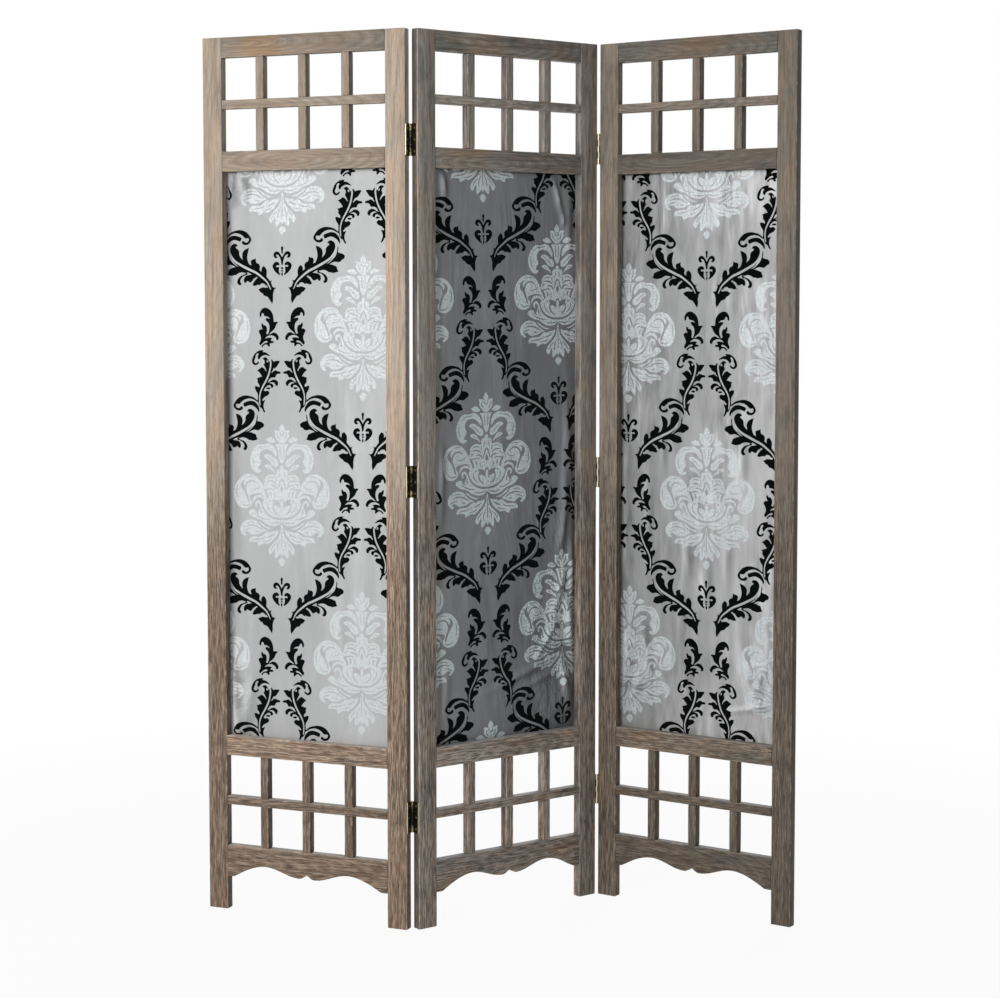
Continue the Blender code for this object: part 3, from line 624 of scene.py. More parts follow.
MEDALLION = {
    "silver": [
        [(0, 139, 1), (3, 135.5), (5.8, 131), (5.8, 127), (4.8, 124.3, 1), (10, 126.3), (16.8, 126.6, 1),
         (15.2, 120.5), (16, 115), (12.5, 109.5), (8.5, 105), (5, 101.5), (0, 100.6, 1)],
        [(13.6, 104), (16.4, 108.6), (22.4, 112.8), (28, 112.2), (34.8, 108.8, 1), (30.6, 104.6),
         (25.4, 102.6), (18.6, 102.2)],
        [(10.8, 79, 1), (11.6, 85), (14.6, 91), (19.6, 96.6), (27, 100.4), (35.5, 99.6), (43, 98.4),
         (49.6, 99), (56, 96.4), (62, 90.4), (66.8, 82), (69.4, 72), (69, 62), (66, 53), (61, 46.6),
         (55.6, 43.6), (50.6, 43.4), (46.8, 46), (45, 49.4), (51.6, 50.8), (50.4, 56.4), (46.6, 61),
         (46, 66), (48.4, 71), (49.4, 77), (47, 83.6), (41.4, 88), (34, 89.6), (26.4, 88), (20.4, 84.4),
         (15.8, 78.6), (12.6, 74.6, 1)],
        [(8.6, 57, 1), (7.8, 62), (10, 68), (14.6, 71), (19.6, 74.4), (25, 78.4), (31, 80.2), (36.6, 79.4),
         (40, 76.4), (37, 73), (31.6, 70.6), (27.4, 66.4), (24, 61), (18.6, 57), (13, 55)],
        [(15.6, 42.4, 1), (16.6, 48), (20.6, 52.4), (24, 57), (29, 59.8), (34.6, 59.6), (38.2, 57.4),
         (34.8, 54), (29.6, 51.6), (23.8, 49.4), (19.4, 46.8)],
        [(0, 99.4, 1), (6, 100), (14.6, 98.8, 1), (11.2, 93.4), (8.8, 87), (7.4, 79), (6, 70), (3.4, 64.4),
         (0, 61.6, 1)],
        [(0, 58.6, 1), (3, 56.6), (4.6, 53.4), (3, 51.2, 1), (8.4, 50.4), (12, 47.4), (12.8, 43),
         (12.2, 39.8, 1), (15.6, 38.6), (20, 40.2), (26, 40.4), (32, 38.4), (36.2, 34.6), (38.4, 30),
         (37.4, 26.4), (40, 21), (40.6, 16), (39, 12.6, 1), (34.6, 10.6), (31.2, 3.4), (29, -3.6),
         (30.6, -6.4, 1), (36, -8.8), (42, -12.8), (41.4, -19), (37.2, -27.6), (30, -35.2), (21, -40.4),
         (11, -43.2), (0, -44, 1)],
        [(41, 16.4, 1), (45, 23.6), (49.8, 30), (56.4, 36.8), (64.8, 40.2), (73, 41.4), (81.6, 39.8),
         (90, 35), (98, 26), (102.4, 17), (104.2, 6.6), (104, -3.6), (101.4, -12), (96.4, -20.6),
         (88, -25.2), (78, -25.6), (71, -22.6), (66.4, -16.8), (66.6, -11.4), (69.6, -7.8), (71.6, -3.6),
         (70, 0), (66, 1.6), (58, 3.2), (51.4, 4), (45.4, 3), (41, -0.2), (38.4, -5.4), (37, -8.6, 1),
         (32.4, -7, 1), (35.4, 2.6), (39.6, 10.4)],
        [(0, -48, 1), (11, -47.4), (22, -44.4), (31, -39.2), (38.4, -31.8), (43, -23.2), (45, -17.6),
         (47.6, -23), (50.6, -29.6), (52.6, -33.6, 1), (56, -31.2), (60.6, -27.6), (67, -27.8),
         (70.4, -29.2), (73.6, -34.6, 1), (69, -38.6), (63, -42.6), (56, -45.4), (48.6, -47), (42, -50.4),
         (36.6, -54.2), (30.6, -57.2), (22.6, -59.2), (13, -59.4), (6, -57), (2.4, -53), (0, -51.6, 1)],
        [(20, -65, 1), (30, -62.2), (37.6, -58.8), (44, -54), (51, -50.4, 1), (48, -55), (42, -59.8),
         (35, -63.6), (28, -66)],
        [(31, -69, 1), (38, -66.2), (45, -61.6), (50.6, -56.4), (54.4, -51.6), (60.6, -48.8), (69.6, -47.4),
         (78, -49), (85, -53.4), (90, -59.4), (92, -66), (90, -73), (86, -78, 1), (82, -80.4),
         (77.4, -78.6), (80.6, -76), (82, -74.4, 1), (78.6, -71), (73.4, -72), (69, -75.4), (63.6, -77.6),
         (54.6, -76.6), (47.6, -74.8), (42, -71.8), (37, -70.2)],
        [(6.6, -67, 1), (14.6, -69.6), (22.4, -70.4), (26.4, -73.4, 1), (30, -71.6), (34, -71.4),
         (38.4, -74), (43.4, -78.6), (48, -80.4), (56.4, -80.6), (63, -80.6), (69, -82.8), (71.8, -87),
         (72, -93, 1), (66.4, -91), (59.8, -91.8), (53.4, -92.6), (51.6, -99.4, 1), (44.8, -96.8),
         (38.8, -93.6), (31.4, -95), (24.8, -91.6), (18.8, -87), (12.4, -80.4), (8.2, -74.4)],
        [(0, -54.6, 1), (1.8, -62), (2.8, -69.6), (5.4, -78), (9.8, -84.6), (15.2, -90), (21, -95.4),
         (26, -101), (29, -107.6), (28, -112), (24.8, -116, 1), (21, -113.2), (19, -108.6),
         (16.2, -103.6, 1), (14.4, -109.6), (15.6, -114.4), (13.8, -122.4, 1), (10.2, -120.4), (6, -116.2),
         (3, -113), (1.6, -116), (0, -118, 1)],
        [(0, -121, 1), (4.4, -123.6), (7.6, -128), (4.6, -134), (0, -138.6, 1)],
    ],
    "silver ribbons": [
        [(36, -11, 1.2), (40.2, -5.8, 1.9), (45, -2.6, 2.4), (51, -1.6, 2.7), (57, -3.2, 2.6),
         (61.4, -7.6, 2.2), (62.6, -13, 0.9)],
        [(43.6, -25, 1.6), (46.6, -18, 2.0), (51.2, -12.6, 2.4), (55.6, -14, 2.5), (57.4, -18.6, 2.1),
         (55, -23, 0.9)],
    ],
    "seam": [
        [(79.6, 31.4, 1), (85, 29.6), (89.4, 24.6), (90.4, 18.4), (87.4, 12.4), (83, 7.4), (79.6, 0.4),
         (76.6, -6), (74.6, -13), (71.4, -14.4, 1), (72.4, -7.4), (75, 0.4), (78, 8), (80, 14.6),
         (83, 20.6), (84.2, 25.6)],
        [(0, 19.4, 1), (3.6, 12.4), (0, 4.6, 1)],
        [(4.6, -16.6, 1), (7, -11.6), (11, -9.6), (20.6, -7.4, 1), (18.8, -13), (18.6, -19.6, 1),
         (13.4, -19.2), (9, -21.2), (5.4, -22.8, 1)],
    ],
    "seam ribbons": [
        [(12.6, 21.6, 0.6), (15.6, 25, 1.2), (20, 27.2, 1.4), (26.4, 28.2, 1.3), (32.6, 27, 0.5)],
        [(10.2, 11.6, 1.0), (13.4, 16.6, 1.5), (18.6, 19, 1.4), (25, 18.8, 0.5)],
        [(17.6, 10.4, 0.6), (23.6, 13, 1.2), (29, 11.8, 1.2), (35, 11.2, 1.2)],
        [(16.4, 34.2, 0.4), (21.6, 35.6, 0.8), (28, 35, 0.8), (33, 31.6, 0.4)],
        [(29, 22.6, 0.4), (34, 20.8, 0.9), (37.6, 17, 0.4)],
        [(26, 7.6, 0.9), (24.2, 3.2, 1.6), (23.6, -2, 0.8)],
        [(24, -10.6, 1.2), (26.8, -12.6, 1.0)],
        [(0, 31, 1.3), (3, 28, 1.4), (5.8, 20, 1.3), (8.4, 12.6, 0.5)],
        [(4.4, 46, 0.4), (5, 40, 0.9), (8, 34.4, 0.4)],
        [(12.4, 36.4, 0.6), (13.6, 31.6, 1.0), (11.4, 27, 0.5)],
        [(15, 5.6, 0.4), (16, -0.6, 0.9), (13.4, -5, 0.4)],
        [(18.6, -17, 1.1), (19, -25, 1.4), (15.4, -32, 1.4), (7.4, -38, 0.6)],
        [(0, -6.6, 1.2), (3, -10.4, 1.3), (4.6, -17, 1.2), (3.2, -26.6, 0.5)],
        [(31, -14, 0.4), (31.6, -21.6, 0.9), (27.6, -29, 0.9), (21, -34.4, 0.4)],
        [(55, 23.4, 0.6), (61, 27, 1.2), (68.6, 28, 1.5), (75.2, 24.6, 1.5), (79, 18.6, 1.5),
         (80, 12, 1.0)],
        [(47, 18.4, 0.4), (52.6, 13.6, 0.8), (60.4, 11, 0.8), (67.4, 12.6, 0.4)],
        [(97, 20, 0.4), (99, 8, 0.9), (97.4, -6, 0.4)],
        [(70.4, -16.8, 0.5), (76, -20, 1.0), (84, -19.4, 0.9), (90.6, -14, 0.4)],
        [(60, 36.4, 0.4), (68, 36.8, 0.8), (76, 35, 0.4)],
        [(5, 123.4, 0.7), (3, 118.6, 0.8), (0, 115.6, 0.7)],
        [(10.6, 121, 0.4), (9.6, 114, 0.9), (5.6, 108, 0.4)],
        [(4, 96, 0.5), (3.8, 86, 0.9), (2.6, 74, 0.5)],
        [(30, 95.4, 0.4), (40, 94.4, 0.8), (50, 93, 0.8), (57, 86.4, 0.4)],
        [(62.6, 78, 0.4), (63.6, 68, 0.9), (60.4, 56, 0.5)],
        [(33, 76, 0.4), (25.6, 71.4, 0.8), (19, 64.6, 0.8), (14.4, 60, 0.4)],
        [(31, 56.4, 0.6), (24.6, 52.6, 0.5)],
        [(45.2, -35, 1.0), (46.8, -30, 1.2), (46.2, -25, 0.5)],
        [(51.6, -36.6, 1.1), (54.8, -33.8, 1.1), (58, -31, 0.5)],
        [(28, -47.4, 0.5), (40, -45.6, 1.0), (50, -41.8, 1.0), (60, -36, 0.4)],
        [(3, -50.8, 0.6), (9, -53.6, 1.0), (20, -54, 1.0), (30, -51.6, 0.4)],
        [(41, -67.2, 0.6), (48, -64.6, 1.2), (54.6, -61, 1.4), (61.4, -59.2, 1.3), (71, -58.8, 1.2),
         (80, -61.6, 0.5)],
        [(52, -71.6, 1.2), (58.4, -70, 0.8)],
        [(68, -65.6, 0.4), (76, -66.6, 1.0), (84.6, -71, 0.6)],
        [(60, -53.4, 0.5), (69, -52.6, 0.9), (77, -55, 0.5)],
        [(15, -74.6, 0.6), (23, -79, 1.4), (31, -81.4, 0.6)],
        [(35, -80, 0.5), (44, -84.6, 1.0), (56, -86.4, 1.0), (66, -88, 0.5)],
        [(24, -86, 0.5), (33, -89.6, 0.9), (42, -90.6, 0.5)],
        [(0, -64, 0.7), (0, -104, 0.8)],
        [(3.6, -86, 0.5), (8.6, -97, 1.1), (9.6, -108, 0.5)],
        [(11, -92, 0.5), (17.6, -97.4, 1.0), (22.6, -105, 0.5)],
    ],
}

MOTIFS = (LEAVES_LOW, LEAVES_MIDDLE, LEAVES_HIGH, LILY, MEDALLION)

# The material slots of a cloth
SATIN, FLOCK, VEIN, GLITTER, REVERSE = range(5)

# One repeat of the pattern, and where it lies on each cloth: a medallion's middle across the panel and up,
# the distance to the next column, how far a row climbs for each millimetre across, and how far a column leans
# to the right for each millimetre up
PATTERN_REPEAT = 640.0
COLUMN_SPACING = 174.5
PATTERN_PLACES = {
    "left": (156.9, 820.0, 173.5, 0.020, 0.0089),
    "middle": (172.7, 881.0, 178.4, 0.034, -0.0179),
    "right": (234.2, 812.0, 174.2, 0.0, -0.0070),
}


def rounded_outline(points):
    """A closed outline through the points, curved except at those marked as corners."""
    spots = [Vector(point[:2]) for point in points]
    corner = [len(point) > 2 for point in points]
    count, line = len(spots), []
    for i, (start, end) in enumerate(zip(spots, spots[1:] + spots[:1])):
        before, after = spots[i - 1], spots[(i + 2) % count]
        leave = (end - start if corner[i] else (end - before) / 2)
        arrive = (end - start if corner[(i + 1) % count] else (after - start) / 2)
        steps = max(1, round((end - start).length / OUTLINE_STEP_MM))
        for step in range(steps):
            t = step / steps
            line.append(start * (2 * t ** 3 - 3 * t ** 2 + 1) + leave * (t ** 3 - 2 * t ** 2 + t)
                        + end * (3 * t ** 2 - 2 * t ** 3) + arrive * (t ** 3 - t ** 2))
    return line


def ribbon_outline(points):
    """The outline of a tapering stroke with round ends, from its middle line and half widths."""
    spots, widths = [Vector(point[:2]) for point in points], [point[2] for point in points]
    last = len(spots) - 1
    ways = [(spots[min(i + 1, last)] - spots[max(i - 1, 0)]).normalized() for i in range(len(spots))]
    sides = [Vector((-way.y, way.x)) for way in ways]
    left = [spot + side * width for spot, side, width in zip(spots, sides, widths)]
    right = [spot - side * width for spot, side, width in zip(spots, sides, widths)]
    tip, tail = spots[-1] + ways[-1] * widths[-1], spots[0] - ways[0] * widths[0]
    return rounded_outline([tuple(spot) for spot in [*left, tip, *reversed(right), tail]])


def anticlockwise(line):
    """The outline in the order that cutting it out of the cloth needs."""
    turn = sum(spot.cross(following) for spot, following in zip(line, line[1:] + line[:1]))
    return line if turn > 0 else list(reversed(line))


def motif_outlines():
    """Every outline of the pattern's right half, with its kind: flock, pale, silver or seam."""
    found = []
    for motif in MOTIFS:
        for group, shapes in motif.items():
            for shape in shapes:
                line = ribbon_outline(shape) if "ribbons" in group else rounded_outline(shape)
                found.append((group.split()[0], line))
    return found


def outlines_in_tile(high):
    """The outlines that reach a tile: a column's own, and its neighbour's, mirrored and half a repeat off."""
    ways = [(1, 0, 0), (1, 0, 1), (-1, 2, 0.5), (-1, 2, -0.5)]
    placed = []
    for flip, halves, repeats in ways:
        for kind, line in motif_outlines():
            moved = [Vector((spot.x * flip + halves * high[0], spot.y + repeats * PATTERN_REPEAT))
                     for spot in line]
            xs, ys = [spot.x for spot in moved], [spot.y for spot in moved]
            if max(xs) > 0 and min(xs) < high[0] and max(ys) > 0 and min(ys) < high[1]:
                placed.append((kind, anticlockwise(moved)))
    return placed


def finish_of(kinds):
    """The material slot of a patch of cloth, from the kinds of the outlines that it lies in."""
    if "flock" in kinds:
        return VEIN if "pale" in kinds else FLOCK
    return GLITTER if "silver" in kinds and "seam" not in kinds else SATIN


def pattern_tile():
    """The smallest part of the pattern that mirroring and moving repeats: half a column wide, one repeat
    high. Its triangles follow every outline."""
    high = (COLUMN_SPACING / 2, PATTERN_REPEAT)
    shapes = [("tile", [Vector((0, 0)), Vector((high[0], 0)), Vector(high), Vector((0, high[1]))])]
    shapes += outlines_in_tile(high)
    spots, loops = [], []
    for _, line in shapes:
        loops.append(list(range(len(spots), len(spots) + len(line))))
        spots += line
    columns, rows = round(high[0] / CLOTH_STEP_MM), 2 * round(high[1] / CLOTH_STEP_MM / 2)
    spots += [Vector((high[0] * column / columns, high[1] * row / rows))
              for row in range(rows + 1) for column in range(columns + 1)]
    flat, _, faces, _, _, sources = geometry.delaunay_2d_cdt(spots, [], loops, 0, 1e-4, True)
    kinds = [kind for kind, _ in shapes]
    inside = [(face, finish_of({kinds[index] for index in source}))
              for face, source in zip(faces, sources) if 0 in source]
    return flat, inside


# Folds of each cloth: place across and up, half width, half length and height in millimetres, then the lean,
# which is the sideways drift as a share of the height
FOLDS = {
    "left": [
        (51, 1417, 10, 42, 5.1, 0.10), (76, 1424, 9, 26, 3.4, -0.25), (51, 422, 12, 90, 6.0, -0.10),
        (76, 389, 14, 60, 3.6, 0.20), (48, 807, 12, 108, 3.0, 0.0),
    ],
    "middle": [
        (63, 872, 10, 50, 7.5, 0.0), (60, 796, 12, 38, 4.6, 0.0), (363, 828, 8, 52, 4.2, -0.03),
        (372, 905, 12, 90, 4.5, -0.05), (357, 738, 9, 48, 6.0, 0.12), (381, 660, 10, 70, 7.0, 0.0),
        (350, 622, 10, 52, 5.5, 0.28), (374, 560, 10, 48, 7.0, -0.18), (318, 525, 8, 40, 4.2, 0.70),
        (252, 461, 26, 20, 3.4, 2.8), (300, 448, 22, 16, 3.0, 2.2), (367, 436, 10, 42, 5.5, -0.20),
        (345, 1398, 6, 34, 6.0, -0.28), (372, 1350, 10, 70, 3.2, 0.0), (54, 452, 9, 80, 4.2, 0.0),
        (76, 446, 9, 54, 3.0, 0.05), (70, 1414, 8, 24, 8.0, -0.12), (357, 1353, 5, 15, 4.5, 0.0),
    ],
    "right": [
        (56, 455, 11, 70, 6.0, 0.10), (97, 521, 12, 60, 5.0, -0.20), (80, 430, 10, 34, 4.6, 0.45),
        (54, 980, 9, 150, 4.6, 0.0), (104, 807, 11, 170, 3.6, 0.0), (138, 905, 8, 34, 4.0, 0.0),
        (166, 980, 11, 90, 3.4, 0.05), (193, 700, 9, 48, 3.8, 0.0), (232, 640, 12, 70, 3.0, 0.0),
        (280, 692, 9, 50, 3.8, 0.0), (181, 598, 8, 46, 3.4, 0.0), (313, 885, 9, 40, 4.2, 0.0),
        (330, 408, 30, 11, 3.8, 3.6), (350, 418, 10, 16, 3.6, 0.0), (326, 478, 12, 56, 4.6, -0.22),
        (346, 446, 10, 40, 4.0, 0.30), (145, 1356, 12, 90, 3.6, 0.0), (250, 1330, 10, 60, 3.0, 0.0),
    ],
}
CLOTH_REST_SWELL = 0.0008

# Painted highlight and shade of a fold: how much brighter its left flank and darker its right flank are
# painted for each millimetre of its height
FOLD_PAINTED_SHEEN = 0.13

# Tones from the darkest place to the palest: of the satin by its painted sheen, the flock by its pile, the
# veins by their threads and the reverse by its weave
SATIN_TONES = ((0.0, (0.170, 0.172, 0.175)), (0.5, (0.430, 0.434, 0.437)), (1.0, (0.900, 0.905, 0.910)))
FLOCK_TONES = ((0.3, (0.0035, 0.0050, 0.0050)), (0.7, (0.0090, 0.0115, 0.0112)))
VEIN_TONES = ((0.3, (0.42, 0.42, 0.42)), (0.7, (0.50, 0.50, 0.50)))
REVERSE_TONES = ((0.3, (0.26, 0.262, 0.268)), (0.62, (0.36, 0.362, 0.368)))
WEAVE_WAVES = 4400

# Painted light and shade: how much brighter or darker the satin, the veins and the flock are painted on each
# cloth, to stand in for the light and shade that each cloth gets
CLOTH_PAINTED_LIGHT = {"left": (1.0, 1.0, 1.0), "middle": (0.80, 0.835, 0.86), "right": (0.98, 0.98, 0.97)}
FLOCK_PAINTED_LIGHT = {"left": 0.60, "middle": 1.15, "right": 0.50}

# The glitter's dark, middling and pale grains: their places in the noise, and each cloth's levels and hue,
# which differ from cloth to cloth as painted light and shade
GLITTER_PLACES = (0.36, 0.50, 0.62)
GLITTER_LEVELS_AND_LIGHT = {"left": (0.44, 0.57, 0.68), "middle": (0.28, 0.95, 1.00), "right": (0.41, 0.58, 0.73)}
GLITTER_HUE = {"left": (0.945, 0.990, 1.000), "middle": (0.885, 0.985, 1.000), "right": (0.930, 0.990, 1.010)}

# Painted light and shade: how much brighter the satin and the glitter are painted towards a cloth's upper
# left, upper right, lower left and lower right corner
SATIN_PAINTED_LIGHT = {"left": (-0.05, 0.02, 0.00, 0.08), "middle": (0.04, -0.20, 0.02, -0.38),
               "right": (-0.25, 0.06, -0.24, 0.13)}
GLITTER_PAINTED_LIGHT = {"left": (-0.01, 0.00, 0.05, 0.08), "middle": (0.04, 0.01, 0.04, -0.07),
                 "right": (-0.02, 0.09, -0.05, 0.05)}

# Painted shadow of the frame's left and upper edges on the cloth: the tint, and from where to where it fades
# in
PAINTED_EDGE_SHADOW = (0.55, 0.55, 0.56)
PAINTED_SHADOW_REACH = (3.5 * MM, 0.5 * MM)

# Creases too fine for the folds: how deep each cloth's long streaks are, which also sets how strong their
# painted sheen is, and where it is crumpled, as the middle across and up and the reach across and up
STREAKS = {"left": 0.30, "middle": 0.75, "right": 1.50}
CRUMPLES = {
    "left": [(0.055, 1.430, 0.050, 0.060), (0.060, 0.420, 0.050, 0.110)],
    "middle": [(0.380, 0.620, 0.070, 0.260), (0.300, 0.420, 0.130, 0.060)],
    "right": [(0.060, 0.480, 0.110, 0.170), (0.345, 0.430, 0.070, 0.080)],
}


def smooth_step(share):
    share = min(max(share, 0.0), 1.0)
    return share * share * (3 - 2 * share)


def cloth_rise(side, across, level):
    """How far the cloth stands forward of its hem."""
    (left, foot), (right, top) = CLOTH_OPENING
    edge = min(across - left, right - across, level - foot, top - level)
    rise = CLOTH_REST_SWELL
    for centre_mm, level_mm, width, length, height, lean in FOLDS[side]:
        up = level / MM - level_mm
        beside = (across / MM - centre_mm - lean * up) / width
        rise += height * MM * math.exp(-(up / length) ** 2 - beside ** 2)
    streaks = noise.noise(Vector((across * 40, level * 4, len(side) * 7.3)))
    rise += STREAKS[side] * 0.8 * MM * streaks
    return max(rise, 0.0) * smooth_step(edge / CLOTH_RELEASE)


def spread_pattern(panel, tile):
    """Repeats the tile over a cloth, in the panel's millimetres, and trims it to the cloth's edges."""
    axis, level, spacing, climb, lean = PATTERN_PLACES[panel.side]
    (left, foot), (right, top) = CLOTH_OPENING
    low = ((left - CLOTH_HEM) / MM, (foot - CLOTH_HEM) / MM)
    high = ((right + CLOTH_HEM) / MM, (top + CLOTH_HEM) / MM)
    flat, inside = tile
    cloth = bmesh.new()
    for column in range(-2, 3):
        for row in range(-2, 2):
            for flip in (1, -1):
                base = row * PATTERN_REPEAT + (PATTERN_REPEAT / 2 if column % 2 else 0.0)
                spots = []
                for spot in flat:
                    across = (column * COLUMN_SPACING + flip * spot.x) * spacing / COLUMN_SPACING
                    up = base + spot.y
                    spots.append((axis + across + lean * up, 0.0, level + up + climb * across))
                made = {}
                for face, slot in inside:
                    corners = [spots[index] for index in face]
                    if max(c[0] for c in corners) <= low[0] or min(c[0] for c in corners) >= high[0]:
                        continue
                    if max(c[2] for c in corners) <= low[1] or min(c[2] for c in corners) >= high[1]:
                        continue
                    for index in face:
                        if index not in made:
                            made[index] = cloth.verts.new(spots[index])
                    order = face if flip > 0 else reversed(face)
                    cloth.faces.new([made[index] for index in order]).material_index = slot
    bmesh.ops.remove_doubles(cloth, verts=cloth.verts, dist=WELD_MM)
    for spot, way in (((low[0], 0, 0), (-1, 0, 0)), ((high[0], 0, 0), (1, 0, 0)),
                      ((0, 0, low[1]), (0, 0, -1)), ((0, 0, high[1]), (0, 0, 1))):
        geom = [*cloth.verts, *cloth.edges, *cloth.faces]
        bmesh.ops.bisect_plane(cloth, geom=geom, dist=1e-4, plane_co=spot, plane_no=way, clear_outer=True)
    bmesh.ops.dissolve_degenerate(cloth, dist=SLIVER_MM, edges=cloth.edges)
    return cloth


# Layers of a cloth's reverse, the outermost first
FRONT_EDGE, TURNED_HEM, SINGLE_CLOTH = range(3)


def reverse_lines(low, high):
    """Places of the reverse's rows or columns, with the layer that each belongs to."""
    inner_low, inner_high = low + CLOTH_HEM, high - CLOTH_HEM
    steps = round((inner_high - inner_low) / REVERSE_STEP)
    inner = [(inner_low + (inner_high - inner_low) * step / steps, SINGLE_CLOTH) for step in range(steps + 1)]
    hem = [(low, FRONT_EDGE), (low, TURNED_HEM), (inner_low - HEM_FOLD, TURNED_HEM)]
    return [*hem, *inner, *((high + low - place, layer) for place, layer in reversed(hem))]


def add_reverse(cloth, panel):
    """The cloth's plain reverse with its hem turned over, joined to the front's edges."""
    (left, foot), (right, top) = CLOTH_OPENING
    columns = reverse_lines(left - CLOTH_HEM, right + CLOTH_HEM)
    rows = reverse_lines(foot - CLOTH_HEM, top + CLOTH_HEM)
    front = FRAME_THICKNESS + CLOTH_GAP
    grid = []
    for level, row_layer in rows:
        line = []
        for across, column_layer in columns:
            layer = min(row_layer, column_layer)
            depth = front
            if layer == TURNED_HEM:
                depth += CLOTH_THICKNESS + HEM_FOLD
            elif layer == SINGLE_CLOTH:
                depth += CLOTH_THICKNESS - cloth_rise(panel.side, across, level)
            line.append(cloth.verts.new(panel.place(across, depth, level)))
        grid.append(line)
    edges = (0, len(rows) - 2), (0, len(columns) - 2)
    for row in range(len(rows) - 1):
        for column in range(len(columns) - 1):
            if row in edges[0] and column in edges[1]:
                continue
            below, above = grid[row], grid[row + 1]
            ring = (below[column], above[column], above[column + 1], below[column + 1])
            cloth.faces.new(ring).material_index = REVERSE
    corners = [vert for line in grid for vert in line]
    bmesh.ops.remove_doubles(cloth, verts=corners, dist=1e-6)


def cloth_piece(panel, tile):
    """The stretched cloth, its front cut along every outline of its pattern."""
    cloth = spread_pattern(panel, tile)
    back = FRAME_THICKNESS + CLOTH_GAP
    for vert in cloth.verts:
        across, level = vert.co.x * MM, vert.co.z * MM
        vert.co = panel.place(across, back - cloth_rise(panel.side, across, level), level)
    cloth.normal_update()
    if sum(face.normal.dot(panel.depth) for face in cloth.faces) > 0:
        bmesh.ops.reverse_faces(cloth, faces=cloth.faces)
    add_reverse(cloth, panel)
    mesh = bpy.data.meshes.new(f"{panel.side}_damask")
    for finish in CLOTH_FINISHES:
        mesh.materials.append(finish(panel))
    cloth.to_mesh(mesh)
    cloth.free()
    mesh.shade_smooth()
    mesh.set_sharp_from_angle(angle=math.radians(40))
    return added(mesh.name, mesh)


def painted_sheen(finish, side, across, height):
    """Painted highlight and shade of the satin's sheen on its folds and streaks: 0.5 where it lies flat, more
    where it turns to the left and less where it turns to the right.
    """
    glow = 0.5
    up_mm, across_mm = height * (1 / MM), across * (1 / MM)
    for centre, level, width, length, rise, lean in FOLDS[side]:
        up = up_mm - level
        beside = (across_mm - up * lean - centre) * (1 / width)
        reach = beside * beside + up * up * (1 / length ** 2)
        # Painted highlight on a fold's left flank and painted shade on its right flank
        glow = beside * (reach * -1).maths("EXPONENT") * (-FOLD_PAINTED_SHEEN * rise) + glow
    # Painted sheen in bright and dark bands along the long streaks
    streaks = finish.grain(across * 42, 3 + len(side), height * 9, detail=2, roughness=0.6)
    patches = finish.grain(across * 8, 6 + len(side), height * 4, detail=1).band(0.36, 0.64)
    return glow + (streaks - 0.5) * (patches + 0.25) * (STREAKS[side] * 0.85)


def corner_to_corner(across, height, corners):
    """A number that goes evenly from corner to corner of the cloth."""
    upper_left, upper_right, lower_left, lower_right = corners
    (left, foot), (right, top) = CLOTH_OPENING
    rightward, downward = across.band(left, right), height.band(top, foot)
    twist = upper_left - upper_right - lower_left + lower_right
    sideways = rightward * (upper_right - upper_left) + downward * (lower_left - upper_left)
    return sideways + rightward * downward * twist + upper_left


def creases(finish, side, across, height):
    """The height of the fine creases, in metres: long streaks everywhere and crumples in places."""
    drift = finish.grain(across * 9, len(side), height * 4, detail=1)
    streaks = finish.grain(across * 75 + drift * 5, len(side), height * 8, detail=2)
    patches = finish.grain(across * 9, 4 + len(side), height * 5, detail=1).band(0.40, 0.62)
    relief = streaks * (patches * 1.3 + 0.25) * (STREAKS[side] * 2.4 * MM)
    rough = finish.grain(across * 62 + drift * 6, 9, height * 40 + drift * 5, detail=3)
    for middle, level, wide, high in CRUMPLES[side]:
        beside, up = (across - middle) * (1 / wide), (height - level) * (1 / high)
        relief += rough * (beside * beside + up * up).band(1.0, 0.15) * (7.0 * MM)
    return relief


def threads(finish, axes, detail):
    """The fine threads of the cloth, which run upwards."""
    across, depth, height = axes
    return finish.grain(across * 1700, depth, height * 420, detail)


def satin_ground(panel):
    """Grey satin, its tone following its painted sheen."""
    side = panel.side
    finish = Finish(f"{side}_satin", Specular_IOR_Level=0.35)
    axes = across, depth, height = finish.axes(panel)
    cloud = finish.grain(across * 7, depth, height * 3, detail=2)
    thread = threads(finish, axes, detail=2)
    # Painted sheen of the folds and streaks, with the satin's own cloud and threads
    shade = painted_sheen(finish, side, across, height) + (cloud - 0.5) * 0.22 + (thread - 0.5) * 0.25
    # Painted light and shade that goes from corner to corner of the cloth
    shade += corner_to_corner(across, height, SATIN_PAINTED_LIGHT[side])
    # The cloth's painted light and shade scales the satin's tones
    colour = finish.ramp(shade, [(place, multiplied(tone, CLOTH_PAINTED_LIGHT[side])) for place, tone in SATIN_TONES])
    (left, _), (_, top) = CLOTH_OPENING
    # Painted shadow of the frame along the cloth's left and upper edges
    edge_shadow = (across - left).maths("MINIMUM", height * -1 + top).band(*PAINTED_SHADOW_REACH)
    finish.set("Base Color", finish.tint(edge_shadow, colour, PAINTED_EDGE_SHADOW))
    finish.set("Roughness", thread * 0.16 + 0.34)
    finish.bump(creases(finish, side, across, height) + thread * (0.02 * MM), 1.0)
    return finish.material


def black_flock(panel):
    finish = Finish(f"{panel.side}_flock", roughness=0.98, Specular_IOR_Level=0.04)
    pile = finish.speckle(finish.axes(panel), 900, detail=2)
    # The cloth's painted light and shade scales the flock's tones
    strength = [FLOCK_PAINTED_LIGHT[panel.side]] * 3
    finish.set("Base Color", finish.ramp(pile, [
        (place, multiplied(tone, strength)) for place, tone in FLOCK_TONES]))
    finish.bump(pile, 0.2 * MM, 0.5)
    return finish.material


